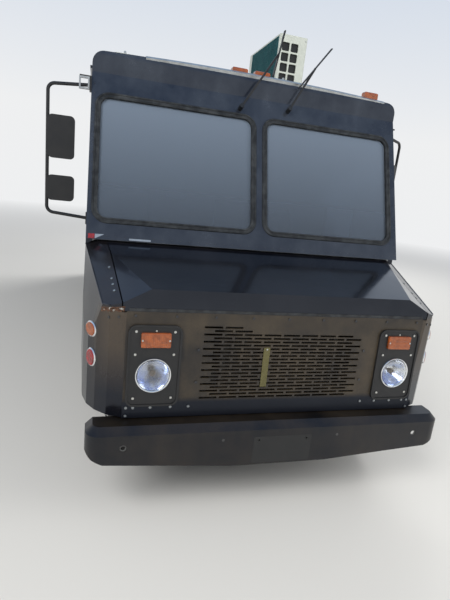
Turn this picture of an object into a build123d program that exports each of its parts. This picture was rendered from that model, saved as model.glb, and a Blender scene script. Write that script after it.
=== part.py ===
"""Walk-in step van food truck, built as separate pieces with working joints.

X points to the vehicle's left, Y to its rear and Z up, with the ground at Z = 0.
The origin is at ground level under the middle of the overall box. Sizes are millimetres.
"""

import math
import os

from build123d import *

os.makedirs("parts", exist_ok=True)

# Overall layout
overall_length = 6700
body_half_w = 1145
bumper_reach = 125
bumper_front_y = -overall_length / 2
face_y = bumper_front_y + bumper_reach
wheelbase = 3990
front_axle_y = face_y + 700
rear_axle_y = front_axle_y + wheelbase
rear_bumper_depth = 175
body_rear_y = overall_length / 2 - rear_bumper_depth

# Clearances
seat_gap = 0.3
panel_gap = 6
shaft_gap = 0.05

# Body shell
wall_t = 40
floor_top_z = 800
skirt_z = 500
eave_z = 2560
roof_corner_r = 80
roof_crown = 25
cap_low_z = 1465
cap_low_y = face_y + 693
cap_slope = 0.363
cap_shoulder_z = 2506
cap_roll_r = 55
cap_rear_y = face_y + 1155
cap_shift = wall_t * math.hypot(1, cap_slope)

# Nose
nose_wall = 20
nose_rear_y = face_y + 740
face_half_w = 917
face_low_z = 595
face_top_z = 1196
face_slope = 0.04
face_foot_y = face_y - 36
nose_plan = [
    # distance in from the body's side, station behind the face
    (body_half_w - face_half_w, 0),
    (145, 38),
    (83, 100),
    (40, 175),
    (13, 290),
    (0, 480),
]
hood_rear_y = face_y + 696
hood_rear_z = 1449
hood_slope = 0.195
hood_front_half_w = 925
hood_rear_half_w = 1010
hood_roll_r = 90
fold_y = face_y + 156
fold_half_w = 850
fender_lip_front = (body_half_w - 100, face_y + 120, 1228)
fender_lip_rear = (body_half_w - 24, face_y + 600, 1382)
flank_foot = (body_half_w - 13, face_y + 290, 1000)
arch_r = 470

# Face plate fittings
lamp_x = 761
lamp_z = 845
lamp_ring_r = 99
lamp_lens_r = 85
bezel_w = 288
bezel_z_low = 666
bezel_z_high = 1126
bezel_x = 760
bezel_corner_r = 45
signal_x = 757
signal_z = 1044
signal_w = 160
signal_h = 82
grille_half_w = 472
grille_z_low = 693
grille_rows = 21
grille_row_pitch = 20.7
slot_w = 104
slot_h = 11.5
slot_pitch = 118
blank_rows = 2
blank_x_low = -225

# Floor
floor_t = 60
door_lane_half_w = body_half_w - 81
lane_end_y = face_y + 2625
firewall_t = 40
engine_bay_half_w = 335
wheelhouse_x = 520
wheelhouse_top_z = 870
wheelhouse_t = 10
front_house_rear_y = face_y + 1186
step_x = 800
step_z = 420
step_y_low = face_y + 1225
step_y_high = face_y + 1895
rear_house_x = 575
rear_house_top_z = 900
rear_house_reach = 485

# Cab doorways and sliding doors
doorway_front_y = face_y + 1225
doorway_rear_y = face_y + 1895
doorway_top_z = 2380
cab_door_t = 30
cab_door_x = body_half_w - 75
cab_door_lap = 30
cab_door_low_z = 470
cab_door_high_z = 2410
cab_door_travel = 640
door_window_low_z = 1480
door_window_high_z = 2220
door_window_inset = 110
glass_t = 6

# Serving hatch on the vehicle's right side
hatch_y_low = face_y + 2760
hatch_y_high = face_y + 4160
hatch_z_low = 1740
hatch_z_high = 2420
hinge_proud = 12
hinge_r = 8
leaf_t = hinge_proud - hinge_r - seat_gap

# Rear doorway and doors
rear_door_half_w = 700
rear_door_high_z = 2380
rear_door_low_z = floor_top_z
rear_hinge_inset = 200
rear_hinge_zs = [
    rear_door_low_z + rear_hinge_inset,
    (rear_door_low_z + rear_door_high_z) / 2,
    rear_door_high_z - rear_hinge_inset,
]
rear_window_low_z = 1560
rear_window_high_z = 2120
rear_window_inset = 150

# Chassis
rail_x = 430
rail_flange = 60
rail_t = 8
rail_low_z = 540
rail_top_z = rail_low_z + 160
rail_front_y = face_y + 30
rail_rear_y = body_rear_y - wall_t

# Wheels
tyre_r = 386
tyre_w = 216
tyre_belly_r = 300
axle_z = tyre_r
bead_r = 203
rim_half_w = 90
rim_flange_r = 218
rim_flange_t = 7.7
rim_t = 6
disc_t = 8
disc_offset = 127
disc_r = 130
hub_r = 60
front_wheel_x = 860
dual_plane_x = 850
kingpin_x = 740
kingpin_r = 22
boss_r = 42
spindle_r = 30
rear_spindle_r = 35


def slab(x_range, y_range, z_range, mode=Mode.ADD):
    """Add a box between three pairs of limits to the part that is being built."""
    sizes = [high - low for low, high in (x_range, y_range, z_range)]
    middle = [(high + low) / 2 for low, high in (x_range, y_range, z_range)]
    with Locations(tuple(middle)):
        Box(*sizes, mode=mode)


def sided(side, inner, outer):
    """Limits in X between two distances from the middle on one side."""
    return (inner, outer) if side > 0 else (-outer, -inner)


def dome_middle(radius, rise):
    """Point half way out on a spherical cap, as a radius and a height over its rim."""
    ball_r = (radius**2 + rise**2) / (2 * rise)
    return radius / 2, rise - ball_r + math.sqrt(ball_r**2 - radius**2 / 4)


def finish(piece, name):
    """Label a finished piece and write it out."""
    piece.label = name
    export_step(piece, f"parts/{name}.step")


def cap_front_y(z):
    """Front surface of the raked windshield panel at a height."""
    return cap_low_y + cap_slope * (z - cap_low_z)


def hood_top_z(y):
    """Top surface of the hood at a station behind the face."""
    return hood_rear_z + hood_slope * (y - hood_rear_y)


def face_front_y(z):
    """Front surface of the face plate at a height."""
    return face_foot_y + face_slope * z


# Cross-section of the body above the skirt, with rounded eaves and a crowned roof
def body_outline(inset, low_z):
    half = body_half_w - inset
    corner = roof_corner_r - inset
    edge_z = eave_z + corner
    with BuildSketch(Plane.XZ) as outline:
        with BuildLine():
            Line((-half, low_z), (-half, eave_z))
            RadiusArc((-half, eave_z), (-half + corner, edge_z), corner)
            ThreePointArc((-half + corner, edge_z), (0, edge_z + roof_crown), (half - corner, edge_z))
            RadiusArc((half - corner, edge_z), (half, eave_z), corner)
            Line((half, eave_z), (half, low_z))
            Line((half, low_z), (-half, low_z))
        make_face()
    return outline.sketch


def body_run(inset, low_z, y_low, y_high):
    """The body's cross-section carried from one station to another."""
    section = body_outline(inset, low_z).moved(Location((0, y_low, 0)))
    return extrude(section, amount=-(y_high - y_low))


# The nose before it is hollowed: plan and side outlines meet, each fender top slopes off from the
# hood and its flank leans in towards the lip
def nose_block(inset):
    beyond = 200
    plan = [(body_half_w - inward, face_y + behind) for inward, behind in nose_plan]
    plan.append((body_half_w, nose_rear_y + beyond))
    plan += [(-x, y) for x, y in reversed(plan)]
    roll_y = face_y + 16.5
    side_low_z = skirt_z - beyond
    side = [
        (face_front_y(side_low_z), side_low_z),
        (roll_y, hood_top_z(roll_y)),
        (nose_rear_y + beyond, hood_top_z(nose_rear_y + beyond)),
        (nose_rear_y + beyond, side_low_z),
    ]
    with BuildPart() as block:
        with BuildSketch(Plane.XY.offset(side_low_z)):
            Polygon(*plan, align=None)
            offset(amount=-inset, kind=Kind.INTERSECTION)
        extrude(amount=eave_z)
        with BuildSketch(Plane.YZ.offset(-body_half_w)) as profile:
            Polygon(*side, align=None)
            roll_corner = profile.vertices().sort_by(Axis.Z).filter_by_position(
                Axis.Y, roll_y - 1, roll_y + 1
            )
            fillet(roll_corner, hood_roll_r)
            offset(amount=-inset, kind=Kind.INTERSECTION)
        extrude(amount=2 * body_half_w, mode=Mode.INTERSECT)
        for side_x in (-1, 1):
            lip_front, lip_rear, foot = [
                Vector(side_x * x, y, z) for x, y, z in (fender_lip_front, fender_lip_rear, flank_foot)
            ]
            hood_fold = Vector(side_x * fold_half_w, fold_y, hood_top_z(fold_y))
            for third in (hood_fold, foot):
                normal = (lip_front - third).cross(lip_rear - third).normalized()
                if normal.X * side_x < 0:
                    normal = normal * -1
                cut_plane = Plane(origin=third - normal * inset, z_dir=normal)
                split(bisect_by=cut_plane, keep=Keep.BOTTOM)
    return block.part


# Trapezoid in plan under the hood, drawn in or out by a margin
def hood_region(margin):
    front_y = face_y - 100
    rear_y = hood_rear_y + margin
    front_half = hood_front_half_w + margin
    rear_half = hood_rear_half_w + margin
    with BuildPart() as region:
        with BuildSketch(Plane.XY.offset(face_top_z - margin)):
            Polygon(
                (-front_half, front_y),
                (front_half, front_y),
                (rear_half, rear_y),
                (-rear_half, rear_y),
                align=None,
            )
        extrude(amount=600)
    return region.part


nose_outer = nose_block(0)
nose_inner = nose_block(nose_wall)
nose_skin = nose_outer - nose_inner

# Chassis frame: two channel rails, cross-members, spring hangers and bumper horns
cross_members = [
    # station, low, high
    (face_y + 80, 560, 620),
    (front_axle_y + 1150, 610, 690),
    (front_axle_y + 2000, 610, 690),
    (rear_axle_y - 780, 610, 690),
    (rear_axle_y + 780, 610, 690),
    (rail_rear_y - 45, 610, 690),
]
cross_half_depth = 40
engine_beam_y = front_axle_y - 330
engine_beam_z = (420, 480)
engine_beam_half_w = 365
eye_r = 22
spring_w = 60
spring_half = 550
rear_spring_half = 620
front_spring_x = 400
rear_spring_x = 520
front_eye_z = 490
rear_eye_z = 545
hanger_t = 8
spring_mounts = [
    # axle station, spring x, half length, eye height
    (front_axle_y, front_spring_x, spring_half, front_eye_z),
    (rear_axle_y, rear_spring_x, rear_spring_half, rear_eye_z),
]

with BuildPart() as chassis_frame:
    for side in (-1, 1):
        slab(sided(side, rail_x - rail_t, rail_x), (rail_front_y, rail_rear_y), (rail_low_z, rail_top_z))
        for flange_z in (rail_low_z, rail_top_z - rail_t):
            slab(
                sided(side, rail_x - rail_flange, rail_x),
                (rail_front_y, rail_rear_y),
                (flange_z, flange_z + rail_t),
            )
        # Horn that reaches forward under the face plate to the bumper
        slab(sided(side, 385, rail_x), (bumper_front_y + 8, rail_front_y + 80), (480, rail_low_z))
        # Leg of the dropped engine cross-member, footed inside the channel
        leg_y = (engine_beam_y - cross_half_depth, engine_beam_y + cross_half_depth)
        slab(
            sided(side, engine_beam_half_w - 30, engine_beam_half_w),
            leg_y,
            (engine_beam_z[0], rail_low_z + 60),
        )
        slab(
            sided(side, engine_beam_half_w, rail_x - rail_t),
            leg_y,
            (rail_low_z + rail_t, rail_low_z + 60),
        )
        for axle_y, spring_x, half, eye_z in spring_mounts:
            cheek = spring_w / 2 + seat_gap
            for end_y in (axle_y - half, axle_y + half):
                reach = (end_y - 30, end_y + 30)
                top_z = eye_z + eye_r + 8
                inner_x = min(rail_x - rail_t, spring_x - cheek - hanger_t)
                slab(sided(side, inner_x, spring_x + cheek + hanger_t), reach, (top_z, top_z + 20))
                for cheek_x in (spring_x - cheek - hanger_t, spring_x + cheek):
                    slab(sided(side, cheek_x, cheek_x + hanger_t), reach, (eye_z - 25, top_z))
    slab((-engine_beam_half_w, engine_beam_half_w), leg_y, engine_beam_z)
    half_w = rail_x - rail_t
    for station, low, high in cross_members:
        slab((-half_w, half_w), (station - cross_half_depth, station + cross_half_depth), (low, high))
finish(chassis_frame.part, "chassis_frame")

# Leaf springs: packs with an eye at each end, one pack at each spring mount
pack_t = 45
front_seat_z = 375
rear_seat_z = 450
seat_heights = [front_seat_z, rear_seat_z]
spring_solids = []
for (axle_y, spring_x, half, eye_z), seat_z in zip(spring_mounts, seat_heights):
    for side in (-1, 1):
        with BuildPart() as spring:
            with BuildSketch(Plane.YZ.offset(side * spring_x - spring_w / 2)):
                with BuildLine():
                    ThreePointArc(
                        (axle_y - half, eye_z - 6), (axle_y, seat_z), (axle_y + half, eye_z - 6)
                    )
                    Line((axle_y + half, eye_z - 6), (axle_y + half, eye_z + 6))
                    ThreePointArc(
                        (axle_y + half, eye_z + 6), (axle_y, seat_z + pack_t), (axle_y - half, eye_z + 6)
                    )
                    Line((axle_y - half, eye_z + 6), (axle_y - half, eye_z - 6))
                make_face()
                with Locations((axle_y - half, eye_z), (axle_y + half, eye_z)):
                    Circle(eye_r)
            extrude(amount=spring_w)
        spring_solids.append(spring.part)
leaf_springs = Compound(children=spring_solids)
finish(leaf_springs, "leaf_springs")

# Front axle: forged I-beam with a dropped middle and a kingpin boss at each end
beam_low_z = 285
beam_h = 80
beam_half_depth = 40
boss_half_h = 60
with BuildPart() as front_axle:
    beam_end_x = kingpin_x - 20
    with BuildSketch(Plane.XZ.offset(-(front_axle_y - beam_half_depth))):
        half_profile = [
            (560, beam_low_z),
            (680, axle_z - beam_h / 2),
            (beam_end_x, axle_z - beam_h / 2),
            (beam_end_x, axle_z + beam_h / 2),
            (680, axle_z + beam_h / 2),
            (560, beam_low_z + beam_h),
        ]
        Polygon(*half_profile, *[(-x, z) for x, z in reversed(half_profile)], align=None)
    extrude(amount=-2 * beam_half_depth)
    for face_side in (-1, 1):
        slab(
            (-520, 520),
            (front_axle_y + face_side * 27.5 - 12.5, front_axle_y + face_side * 27.5 + 12.5),
            (beam_low_z + 16, beam_low_z + beam_h - 16),
            mode=Mode.SUBTRACT,
        )
    for side in (-1, 1):
        slab(
            sided(side, front_spring_x - 40, front_spring_x + 40),
            (front_axle_y - 60, front_axle_y + 60),
            (beam_low_z + beam_h, front_seat_z),
        )
        with Locations((side * kingpin_x, front_axle_y, axle_z)):
            Cylinder(boss_r, 2 * boss_half_h)
            Cylinder(kingpin_r + shaft_gap, 2 * boss_half_h, mode=Mode.SUBTRACT)
finish(front_axle.part, "front_axle")

# Rear axle: tubes with a spindle at each end, and the differential housing
tube_r = 55
tube_end_x = 690
rear_spindle_end_x = 880
diff_r = 165
pinion_y = rear_axle_y - 300
with BuildPart() as rear_axle:
    with Locations(Location((0, rear_axle_y, axle_z), (0, 90, 0))):
        Cylinder(tube_r, 2 * tube_end_x)
        Cylinder(rear_spindle_r, 2 * rear_spindle_end_x)
    with Locations((0, rear_axle_y, axle_z)):
        Sphere(diff_r)
    with BuildSketch(Plane.XZ.offset(-pinion_y)):
        with Locations((0, axle_z)):
            Circle(70)
    extrude(amount=-(rear_axle_y - pinion_y))
    for side in (-1, 1):
        slab(
            sided(side, rear_spring_x - 40, rear_spring_x + 40),
            (rear_axle_y - 70, rear_axle_y + 70),
            (axle_z, rear_seat_z),
        )
finish(rear_axle.part, "rear_axle")

# Engine, with the gearbox and the shaft to the rear axle
engine_half_w = 275
engine_front_y = face_y + 280
engine_rear_y = face_y + 1080
engine_low_z = 480
engine_top_z = 1080
with BuildPart() as engine_block:
    slab((-engine_half_w, engine_half_w), (engine_front_y, engine_rear_y), (engine_low_z, engine_top_z))
    fillet(engine_block.edges().filter_by(Axis.Y), 40)
finish(engine_block.part, "engine_block")

gearbox_end_y = face_y + 1750
gearbox_z = 590
shaft_r = 38
with BuildPart() as driveline:
    with BuildSketch(Plane.XZ.offset(-engine_rear_y)):
        with Locations((0, gearbox_z)):
            Rectangle(300, 230)
    with BuildSketch(Plane.XZ.offset(-gearbox_end_y)):
        with Locations((0, gearbox_z - 30)):
            Rectangle(150, 150)
    loft()
    shaft_start = Vector(0, gearbox_end_y, gearbox_z - 30)
    shaft_end = Vector(0, pinion_y, axle_z)
    shaft_line = shaft_end - shaft_start
    with BuildSketch(Plane(origin=shaft_start, z_dir=shaft_line.normalized())):
        Circle(shaft_r)
    extrude(amount=shaft_line.length - 3)
finish(driveline.part, "driveline")

# Radiator behind the grille, standing on the first cross-member
radiator_half_w = 365
radiator_y = (face_y + 60, face_y + 115)
radiator_z = (cross_members[0][2], 1150)
radiator_rim = 25
radiator_tank_h = 45
with BuildPart() as radiator:
    slab((-radiator_half_w, radiator_half_w), radiator_y, radiator_z)
    slab(
        (-radiator_half_w + radiator_rim, radiator_half_w - radiator_rim),
        (radiator_y[0], radiator_y[0] + 8),
        (radiator_z[0] + radiator_tank_h, radiator_z[1] - radiator_tank_h),
        mode=Mode.SUBTRACT,
    )
finish(radiator.part, "radiator")

# Fuel tank on the outer face of the left rail
with BuildPart() as fuel_tank:
    slab((rail_x, rail_x + 420), (front_axle_y + 1850, front_axle_y + 2850), (420, 695))
    fillet(fuel_tank.edges().filter_by(Axis.Y).group_by(Axis.X)[-1], 60)
    with Locations((rail_x + 210, front_axle_y + 2350, 697.5)):
        Box(60, 900, 5)
finish(fuel_tank.part, "fuel_tank")

# Exhaust: a pipe from the engine, the muffler and a tailpipe turned out ahead of the rear wheels
muffler_x = -620
muffler_z = 520
pipe_r = 28
pipe_z = 430
pipe_x = 205
tailpipe_z = 465
with BuildPart() as exhaust_pipe:
    with BuildLine():
        FilletPolyline(
            (-pipe_x, face_y + 1000, engine_low_z),
            (-pipe_x, face_y + 1000, pipe_z),
            (-pipe_x, face_y + 1500, pipe_z),
            (muffler_x, face_y + 2150, pipe_z),
            (muffler_x, face_y + 2500, muffler_z),
            radius=45,
        )
    with BuildSketch(Plane(origin=(-pipe_x, face_y + 1000, engine_low_z), z_dir=(0, 0, -1))):
        Circle(pipe_r)
    sweep()
    with BuildSketch(Plane.XZ.offset(-(face_y + 2480))):
        with Locations((muffler_x, muffler_z)):
            Ellipse(130, 85)
    extrude(amount=-760)
    slab((muffler_x - 20, muffler_x + 20), (face_y + 2800, face_y + 2830), (muffler_z + 60, rail_top_z))
    with Locations(Location((-870, face_y + 3180, tailpipe_z), (0, 90, 0))):
        Cylinder(pipe_r, 500)
finish(exhaust_pipe.part, "exhaust_pipe")

# Front bumper: pressed channel with curved ends, a bevelled top edge and a deeper middle
bumper_half_w = body_half_w - 40
bumper_top_z = 590
bumper_low_z = 330
bumper_t = 8
bumper_end_depth = 150
bumper_end_r = 80
bumper_bevel = 38
bumper_flange_w = 160
bumper_hole_x = 907
bumper_hole_z = 480
bumper_hole_r = 19
bumper_low_edge = [
    # distance from the middle, height of the lower edge
    (300, bumper_low_z),
    (700, bumper_low_z + 32),
    (bumper_half_w - 95, bumper_low_z + 55),
    (bumper_half_w - 32, bumper_low_z + 85),
    (bumper_half_w + 30, bumper_low_z + 150),
]


def bumper_block(inset):
    """Solid inside the bumper's front, top and end faces, drawn in by inset."""
    half = bumper_half_w - inset
    front = bumper_front_y + inset
    rear = bumper_front_y + bumper_end_depth
    bend = bumper_end_r - inset
    with BuildPart() as block:
        with BuildSketch(Plane.XY.offset(bumper_low_z)):
            with BuildLine():
                Line((-half, rear), (-half, front + bend))
                RadiusArc((-half, front + bend), (-half + bend, front), -bend)
                Line((-half + bend, front), (half - bend, front))
                RadiusArc((half - bend, front), (half, front + bend), -bend)
                Line((half, front + bend), (half, rear))
                Line((half, rear), (-half, rear))
            make_face()
        extrude(amount=bumper_top_z - bumper_low_z - inset)
        front_top = block.edges().group_by(Axis.Z)[-1].sort_by(Axis.Y)[:3]
        chamfer(front_top, length=bumper_bevel)
    return block.part


bumper_outer = bumper_block(0)
bumper_inner = bumper_block(bumper_t)
with BuildPart() as front_bumper:
    add(bumper_outer)
    add(bumper_inner, mode=Mode.SUBTRACT)
    slab(
        (-bumper_half_w + bumper_flange_w, bumper_half_w - bumper_flange_w),
        (bumper_front_y + 60, 0),
        (0, bumper_top_z - 30),
        mode=Mode.SUBTRACT,
    )
    # The lower edge rises towards the ends
    with BuildSketch(Plane.XZ.offset(-bumper_front_y + 50)):
        for side in (-1, 1):
            low_edge = [(side * x, z) for x, z in bumper_low_edge]
            low_edge += [(side * bumper_low_edge[-1][0], 0), (side * bumper_low_edge[0][0], 0)]
            Polygon(*low_edge, align=None)
    extrude(amount=-400, mode=Mode.SUBTRACT)
    for side in (-1, 1):
        with Locations(Location((side * bumper_hole_x, bumper_front_y, bumper_hole_z), (90, 0, 0))):
            Cylinder(bumper_hole_r, 40, mode=Mode.SUBTRACT)
finish(front_bumper.part, "front_bumper")

# Rear bumper: step plate with a turned-down edge on two brackets
rear_bumper_half_w = body_half_w - 50
rear_bumper_top_z = 560
with BuildPart() as rear_bumper:
    slab(
        (-rear_bumper_half_w, rear_bumper_half_w),
        (body_rear_y + 8, overall_length / 2),
        (rear_bumper_top_z - 140, rear_bumper_top_z),
    )
    slab(
        (-rear_bumper_half_w + 8, rear_bumper_half_w - 8),
        (body_rear_y, overall_length / 2 - 8),
        (0, rear_bumper_top_z - 8),
        mode=Mode.SUBTRACT,
    )
    for side in (-1, 1):
        slab(
            sided(side, rail_x - rail_flange, rail_x),
            (rail_rear_y - 10, overall_length / 2 - 8),
            (rail_low_z - 80, skirt_z - 2),
        )
        slab(
            sided(side, rail_x - rail_flange, rail_x),
            (rail_rear_y - 200, rail_rear_y - 5),
            (rail_low_z - 80, rail_low_z),
        )
finish(rear_bumper.part, "rear_bumper")

# Nose shell: fenders, corner panels and cowl strip, open for the face plate and the hood
hood_cut = hood_region(panel_gap)
with BuildPart() as nose_shell:
    add(nose_skin)
    slab((-1500, 1500), (nose_rear_y, nose_rear_y + 600), (0, 3000), mode=Mode.SUBTRACT)
    slab((-1500, 1500), (face_y - 200, nose_rear_y + 600), (0, face_low_z), mode=Mode.SUBTRACT)
    slab((-face_half_w, face_half_w), (face_y - 200, face_y + 60), (0, face_top_z), mode=Mode.SUBTRACT)
    add(hood_cut, mode=Mode.SUBTRACT)
    for side in (-1, 1):
        with BuildSketch(Plane.YZ.offset(side * 1050 - 150)):
            with Locations((front_axle_y, axle_z)):
                Circle(arch_r)
        extrude(amount=300, mode=Mode.SUBTRACT)
with BuildPart() as wheel_pocket:
    for side in (-1, 1):
        pocket_y = (front_axle_y - arch_r - 30, nose_rear_y)
        slab(sided(side, wheelhouse_x, 1200), pocket_y, (face_low_z, wheelhouse_top_z))
        slab(
            sided(side, wheelhouse_x + wheelhouse_t, 1200),
            (pocket_y[0] + wheelhouse_t, nose_rear_y),
            (face_low_z, wheelhouse_top_z - wheelhouse_t),
            mode=Mode.SUBTRACT,
        )
nose_pockets = wheel_pocket.part & nose_inner
nose_shell_part = nose_shell.part + nose_pockets
finish(nose_shell_part, "nose_shell")

# Hood: the top of the nose with its front roll, hinged at the cowl
hood_part = nose_skin & hood_region(0)
finish(hood_part, "hood")

# Face plate with its slotted grille, leaning back a little
face_plane = Plane(
    origin=(0, face_front_y(0), 0), x_dir=(1, 0, 0), z_dir=(0, -1, face_slope)
)
lean = math.hypot(1, face_slope)
slot_places = []
for row in range(grille_rows):
    row_z = (grille_z_low + (row + 0.5) * grille_row_pitch) * lean
    shift = 0.25 * slot_pitch * (1 if row % 2 else -1)
    columns = int(2 * grille_half_w // slot_pitch)
    for column in range(columns):
        slot_x = (column - (columns - 1) / 2) * slot_pitch + shift
        named_zone = row >= grille_rows - blank_rows and slot_x > blank_x_low
        if not named_zone:
            slot_places.append((slot_x, row_z))
with BuildPart() as front_panel:
    with BuildSketch(face_plane):
        with Locations((0, (face_low_z + face_top_z) / 2 * lean)):
            Rectangle(2 * (face_half_w - seat_gap), (face_top_z - face_low_z) * lean - seat_gap)
        with Locations((-lamp_x, lamp_z * lean), (lamp_x, lamp_z * lean)):
            Circle(lamp_lens_r + 3, mode=Mode.SUBTRACT)
        with Locations(*slot_places):
            Rectangle(slot_w, slot_h, mode=Mode.SUBTRACT)
    extrude(amount=-12)
finish(front_panel.part, "front_panel")

# Lamp bezels: plates with a raised rim, standing on the face plate
bezel_t = 8
bezel_h = bezel_z_high - bezel_z_low
bezel_mid_z = (bezel_z_high + bezel_z_low) / 2 * lean
bezel_solids = []
for side in (-1, 1):
    with BuildPart() as bezel:
        with BuildSketch(face_plane):
            with Locations((side * bezel_x, bezel_mid_z)):
                RectangleRounded(bezel_w, bezel_h, bezel_corner_r)
        extrude(amount=bezel_t)
        with BuildSketch(face_plane.offset(bezel_t)):
            with Locations((side * bezel_x, bezel_mid_z)):
                RectangleRounded(bezel_w, bezel_h, bezel_corner_r)
                RectangleRounded(bezel_w - 22, bezel_h - 22, bezel_corner_r - 11, mode=Mode.SUBTRACT)
        extrude(amount=6)
        with BuildSketch(face_plane):
            with Locations((side * lamp_x, lamp_z * lean)):
                Circle(lamp_lens_r + 3)
        extrude(amount=bezel_t, mode=Mode.SUBTRACT)
    bezel_solids.append(bezel.part)
lamp_bezels = Compound(children=bezel_solids)
finish(lamp_bezels, "lamp_bezels")

# Headlamps: sealed-beam lens in a trim ring, with the bowl behind the plate
ring_t = 10
lens_bulge = 14
lens_rim_z = ring_t - 2
lens_mid_r, lens_mid_rise = dome_middle(lamp_lens_r, lens_bulge)
headlamp_solids = []
for side in (-1, 1):
    lamp_plane = Plane(
        origin=face_plane.from_local_coords((side * lamp_x, lamp_z * lean, bezel_t)),
        x_dir=(1, 0, 0),
        z_dir=face_plane.z_dir,
    )
    with BuildPart() as headlamp:
        with BuildSketch(Plane(origin=lamp_plane.origin, x_dir=(1, 0, 0), z_dir=lamp_plane.y_dir * -1)):
            with BuildLine():
                Line((0, -90), (60, -80))
                Line((60, -80), (lamp_lens_r, -12))
                Line((lamp_lens_r, -12), (lamp_lens_r, 0))
                Line((lamp_lens_r, 0), (lamp_ring_r, 0))
                Line((lamp_ring_r, 0), (lamp_ring_r, ring_t * 0.5))
                Line((lamp_ring_r, ring_t * 0.5), (lamp_lens_r + 4, ring_t))
                Line((lamp_lens_r + 4, ring_t), (lamp_lens_r, lens_rim_z))
                ThreePointArc(
                    (lamp_lens_r, lens_rim_z),
                    (lens_mid_r, lens_rim_z + lens_mid_rise),
                    (0, lens_rim_z + lens_bulge),
                )
                Line((0, lens_rim_z + lens_bulge), (0, -90))
            make_face()
        revolve(axis=Axis(lamp_plane.origin, lamp_plane.z_dir))
    headlamp_solids.append(headlamp.part)
headlamps = Compound(children=headlamp_solids)
finish(headlamps, "headlamps")

# Raked front panel with the two windshield openings and the roof's front roll
pane_low_z = 1575
pane_high_z = 2375
pane_left = (-1108, -17)
pane_right = (50, 1090)
pane_corner_r = 80
pane_rim = 12
rake_angle = math.hypot(1, cap_slope)
cap_plane = Plane(
    origin=(0, cap_front_y(0), 0), x_dir=(1, 0, 0), z_dir=(0, -1, cap_slope)
)
roof_top_z = eave_z + roof_corner_r + roof_crown
cap_outer = body_run(0, 0, face_y, cap_rear_y + 10)


def cap_back_y(z):
    """Back surface of the raked panel at a height."""
    return cap_front_y(z) + cap_shift


# Space behind the raked panel: inside the body's wall above the eaves, full width below them
behind_cap = [
    (cap_back_y(cap_low_z - 10), cap_low_z - 10),
    (cap_back_y(eave_z), eave_z),
    (cap_back_y(roof_top_z), roof_top_z),
    (cap_rear_y + 50, roof_top_z),
    (cap_rear_y + 50, cap_low_z - 10),
]
with BuildPart() as cap_space:
    with BuildSketch(Plane.YZ.offset(-body_half_w)):
        Polygon(*behind_cap, align=None)
    extrude(amount=2 * body_half_w)
cap_inner = cap_space.part & body_run(wall_t, 0, face_y, cap_rear_y + 10)
with BuildPart() as cap_below:
    add(cap_space.part)
    slab((-body_half_w, body_half_w), (face_y, cap_rear_y + 60), (eave_z, roof_top_z), mode=Mode.SUBTRACT)
cap_below_eaves = cap_below.part
with BuildPart() as front_cap:
    shoulder_y = cap_front_y(cap_shoulder_z)
    with BuildSketch(Plane.YZ.offset(-body_half_w)):
        with BuildLine():
            Line((cap_low_y, cap_low_z), (shoulder_y, cap_shoulder_z))
            Line((shoulder_y, cap_shoulder_z), (shoulder_y, roof_top_z - cap_roll_r))
            RadiusArc(
                (shoulder_y, roof_top_z - cap_roll_r), (shoulder_y + cap_roll_r, roof_top_z), cap_roll_r
            )
            Line((shoulder_y + cap_roll_r, roof_top_z), (cap_rear_y, roof_top_z))
            Line((cap_rear_y, roof_top_z), (cap_rear_y, cap_low_z))
            Line((cap_rear_y, cap_low_z), (cap_low_y, cap_low_z))
        make_face()
    extrude(amount=2 * body_half_w)
    add(cap_outer, mode=Mode.INTERSECT)
    add(cap_inner, mode=Mode.SUBTRACT)
    add(cap_below_eaves, mode=Mode.SUBTRACT)
    with BuildSketch(cap_plane):
        for low_x, high_x in (pane_left, pane_right):
            with Locations(((low_x + high_x) / 2, (pane_low_z + pane_high_z) / 2 * rake_angle)):
                RectangleRounded(
                    high_x - low_x - 2 * pane_rim,
                    (pane_high_z - pane_low_z) * rake_angle - 2 * pane_rim,
                    pane_corner_r - pane_rim,
                )
    extrude(amount=-100, mode=Mode.SUBTRACT)
finish(front_cap.part, "front_cap")

# Windshields: one pane fills each opening
pane_solids = []
for low_x, high_x in (pane_left, pane_right):
    with BuildPart() as pane:
        with BuildSketch(cap_plane.offset(-14)):
            with Locations(((low_x + high_x) / 2, (pane_low_z + pane_high_z) / 2 * rake_angle)):
                RectangleRounded(
                    high_x - low_x - 2 * pane_rim - 2 * seat_gap,
                    (pane_high_z - pane_low_z) * rake_angle - 2 * pane_rim - 2 * seat_gap,
                    pane_corner_r - pane_rim,
                )
        extrude(amount=-glass_t)
    pane_solids.append(pane.part)
windshields = Compound(children=pane_solids)
finish(windshields, "windshields")

# Side walls, with the front wheel arch, doorway, rear wheel arch, rub rail and drip rail
rub_rail_z = 925
rub_rail_h = 45
trim_proud = 8
drip_proud = 14
rear_arch_r = 455
wall_rear_y = body_rear_y - wall_t
track_z = cab_door_high_z + seat_gap


def wall_outline():
    """Outline of a side wall seen from the side."""
    meet_z = cap_low_z + (nose_rear_y - cap_back_y(cap_low_z)) / cap_slope
    return [
        (nose_rear_y, skirt_z),
        (nose_rear_y, meet_z),
        (cap_back_y(eave_z), eave_z),
        (wall_rear_y, eave_z),
        (wall_rear_y, skirt_z),
    ]


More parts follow.
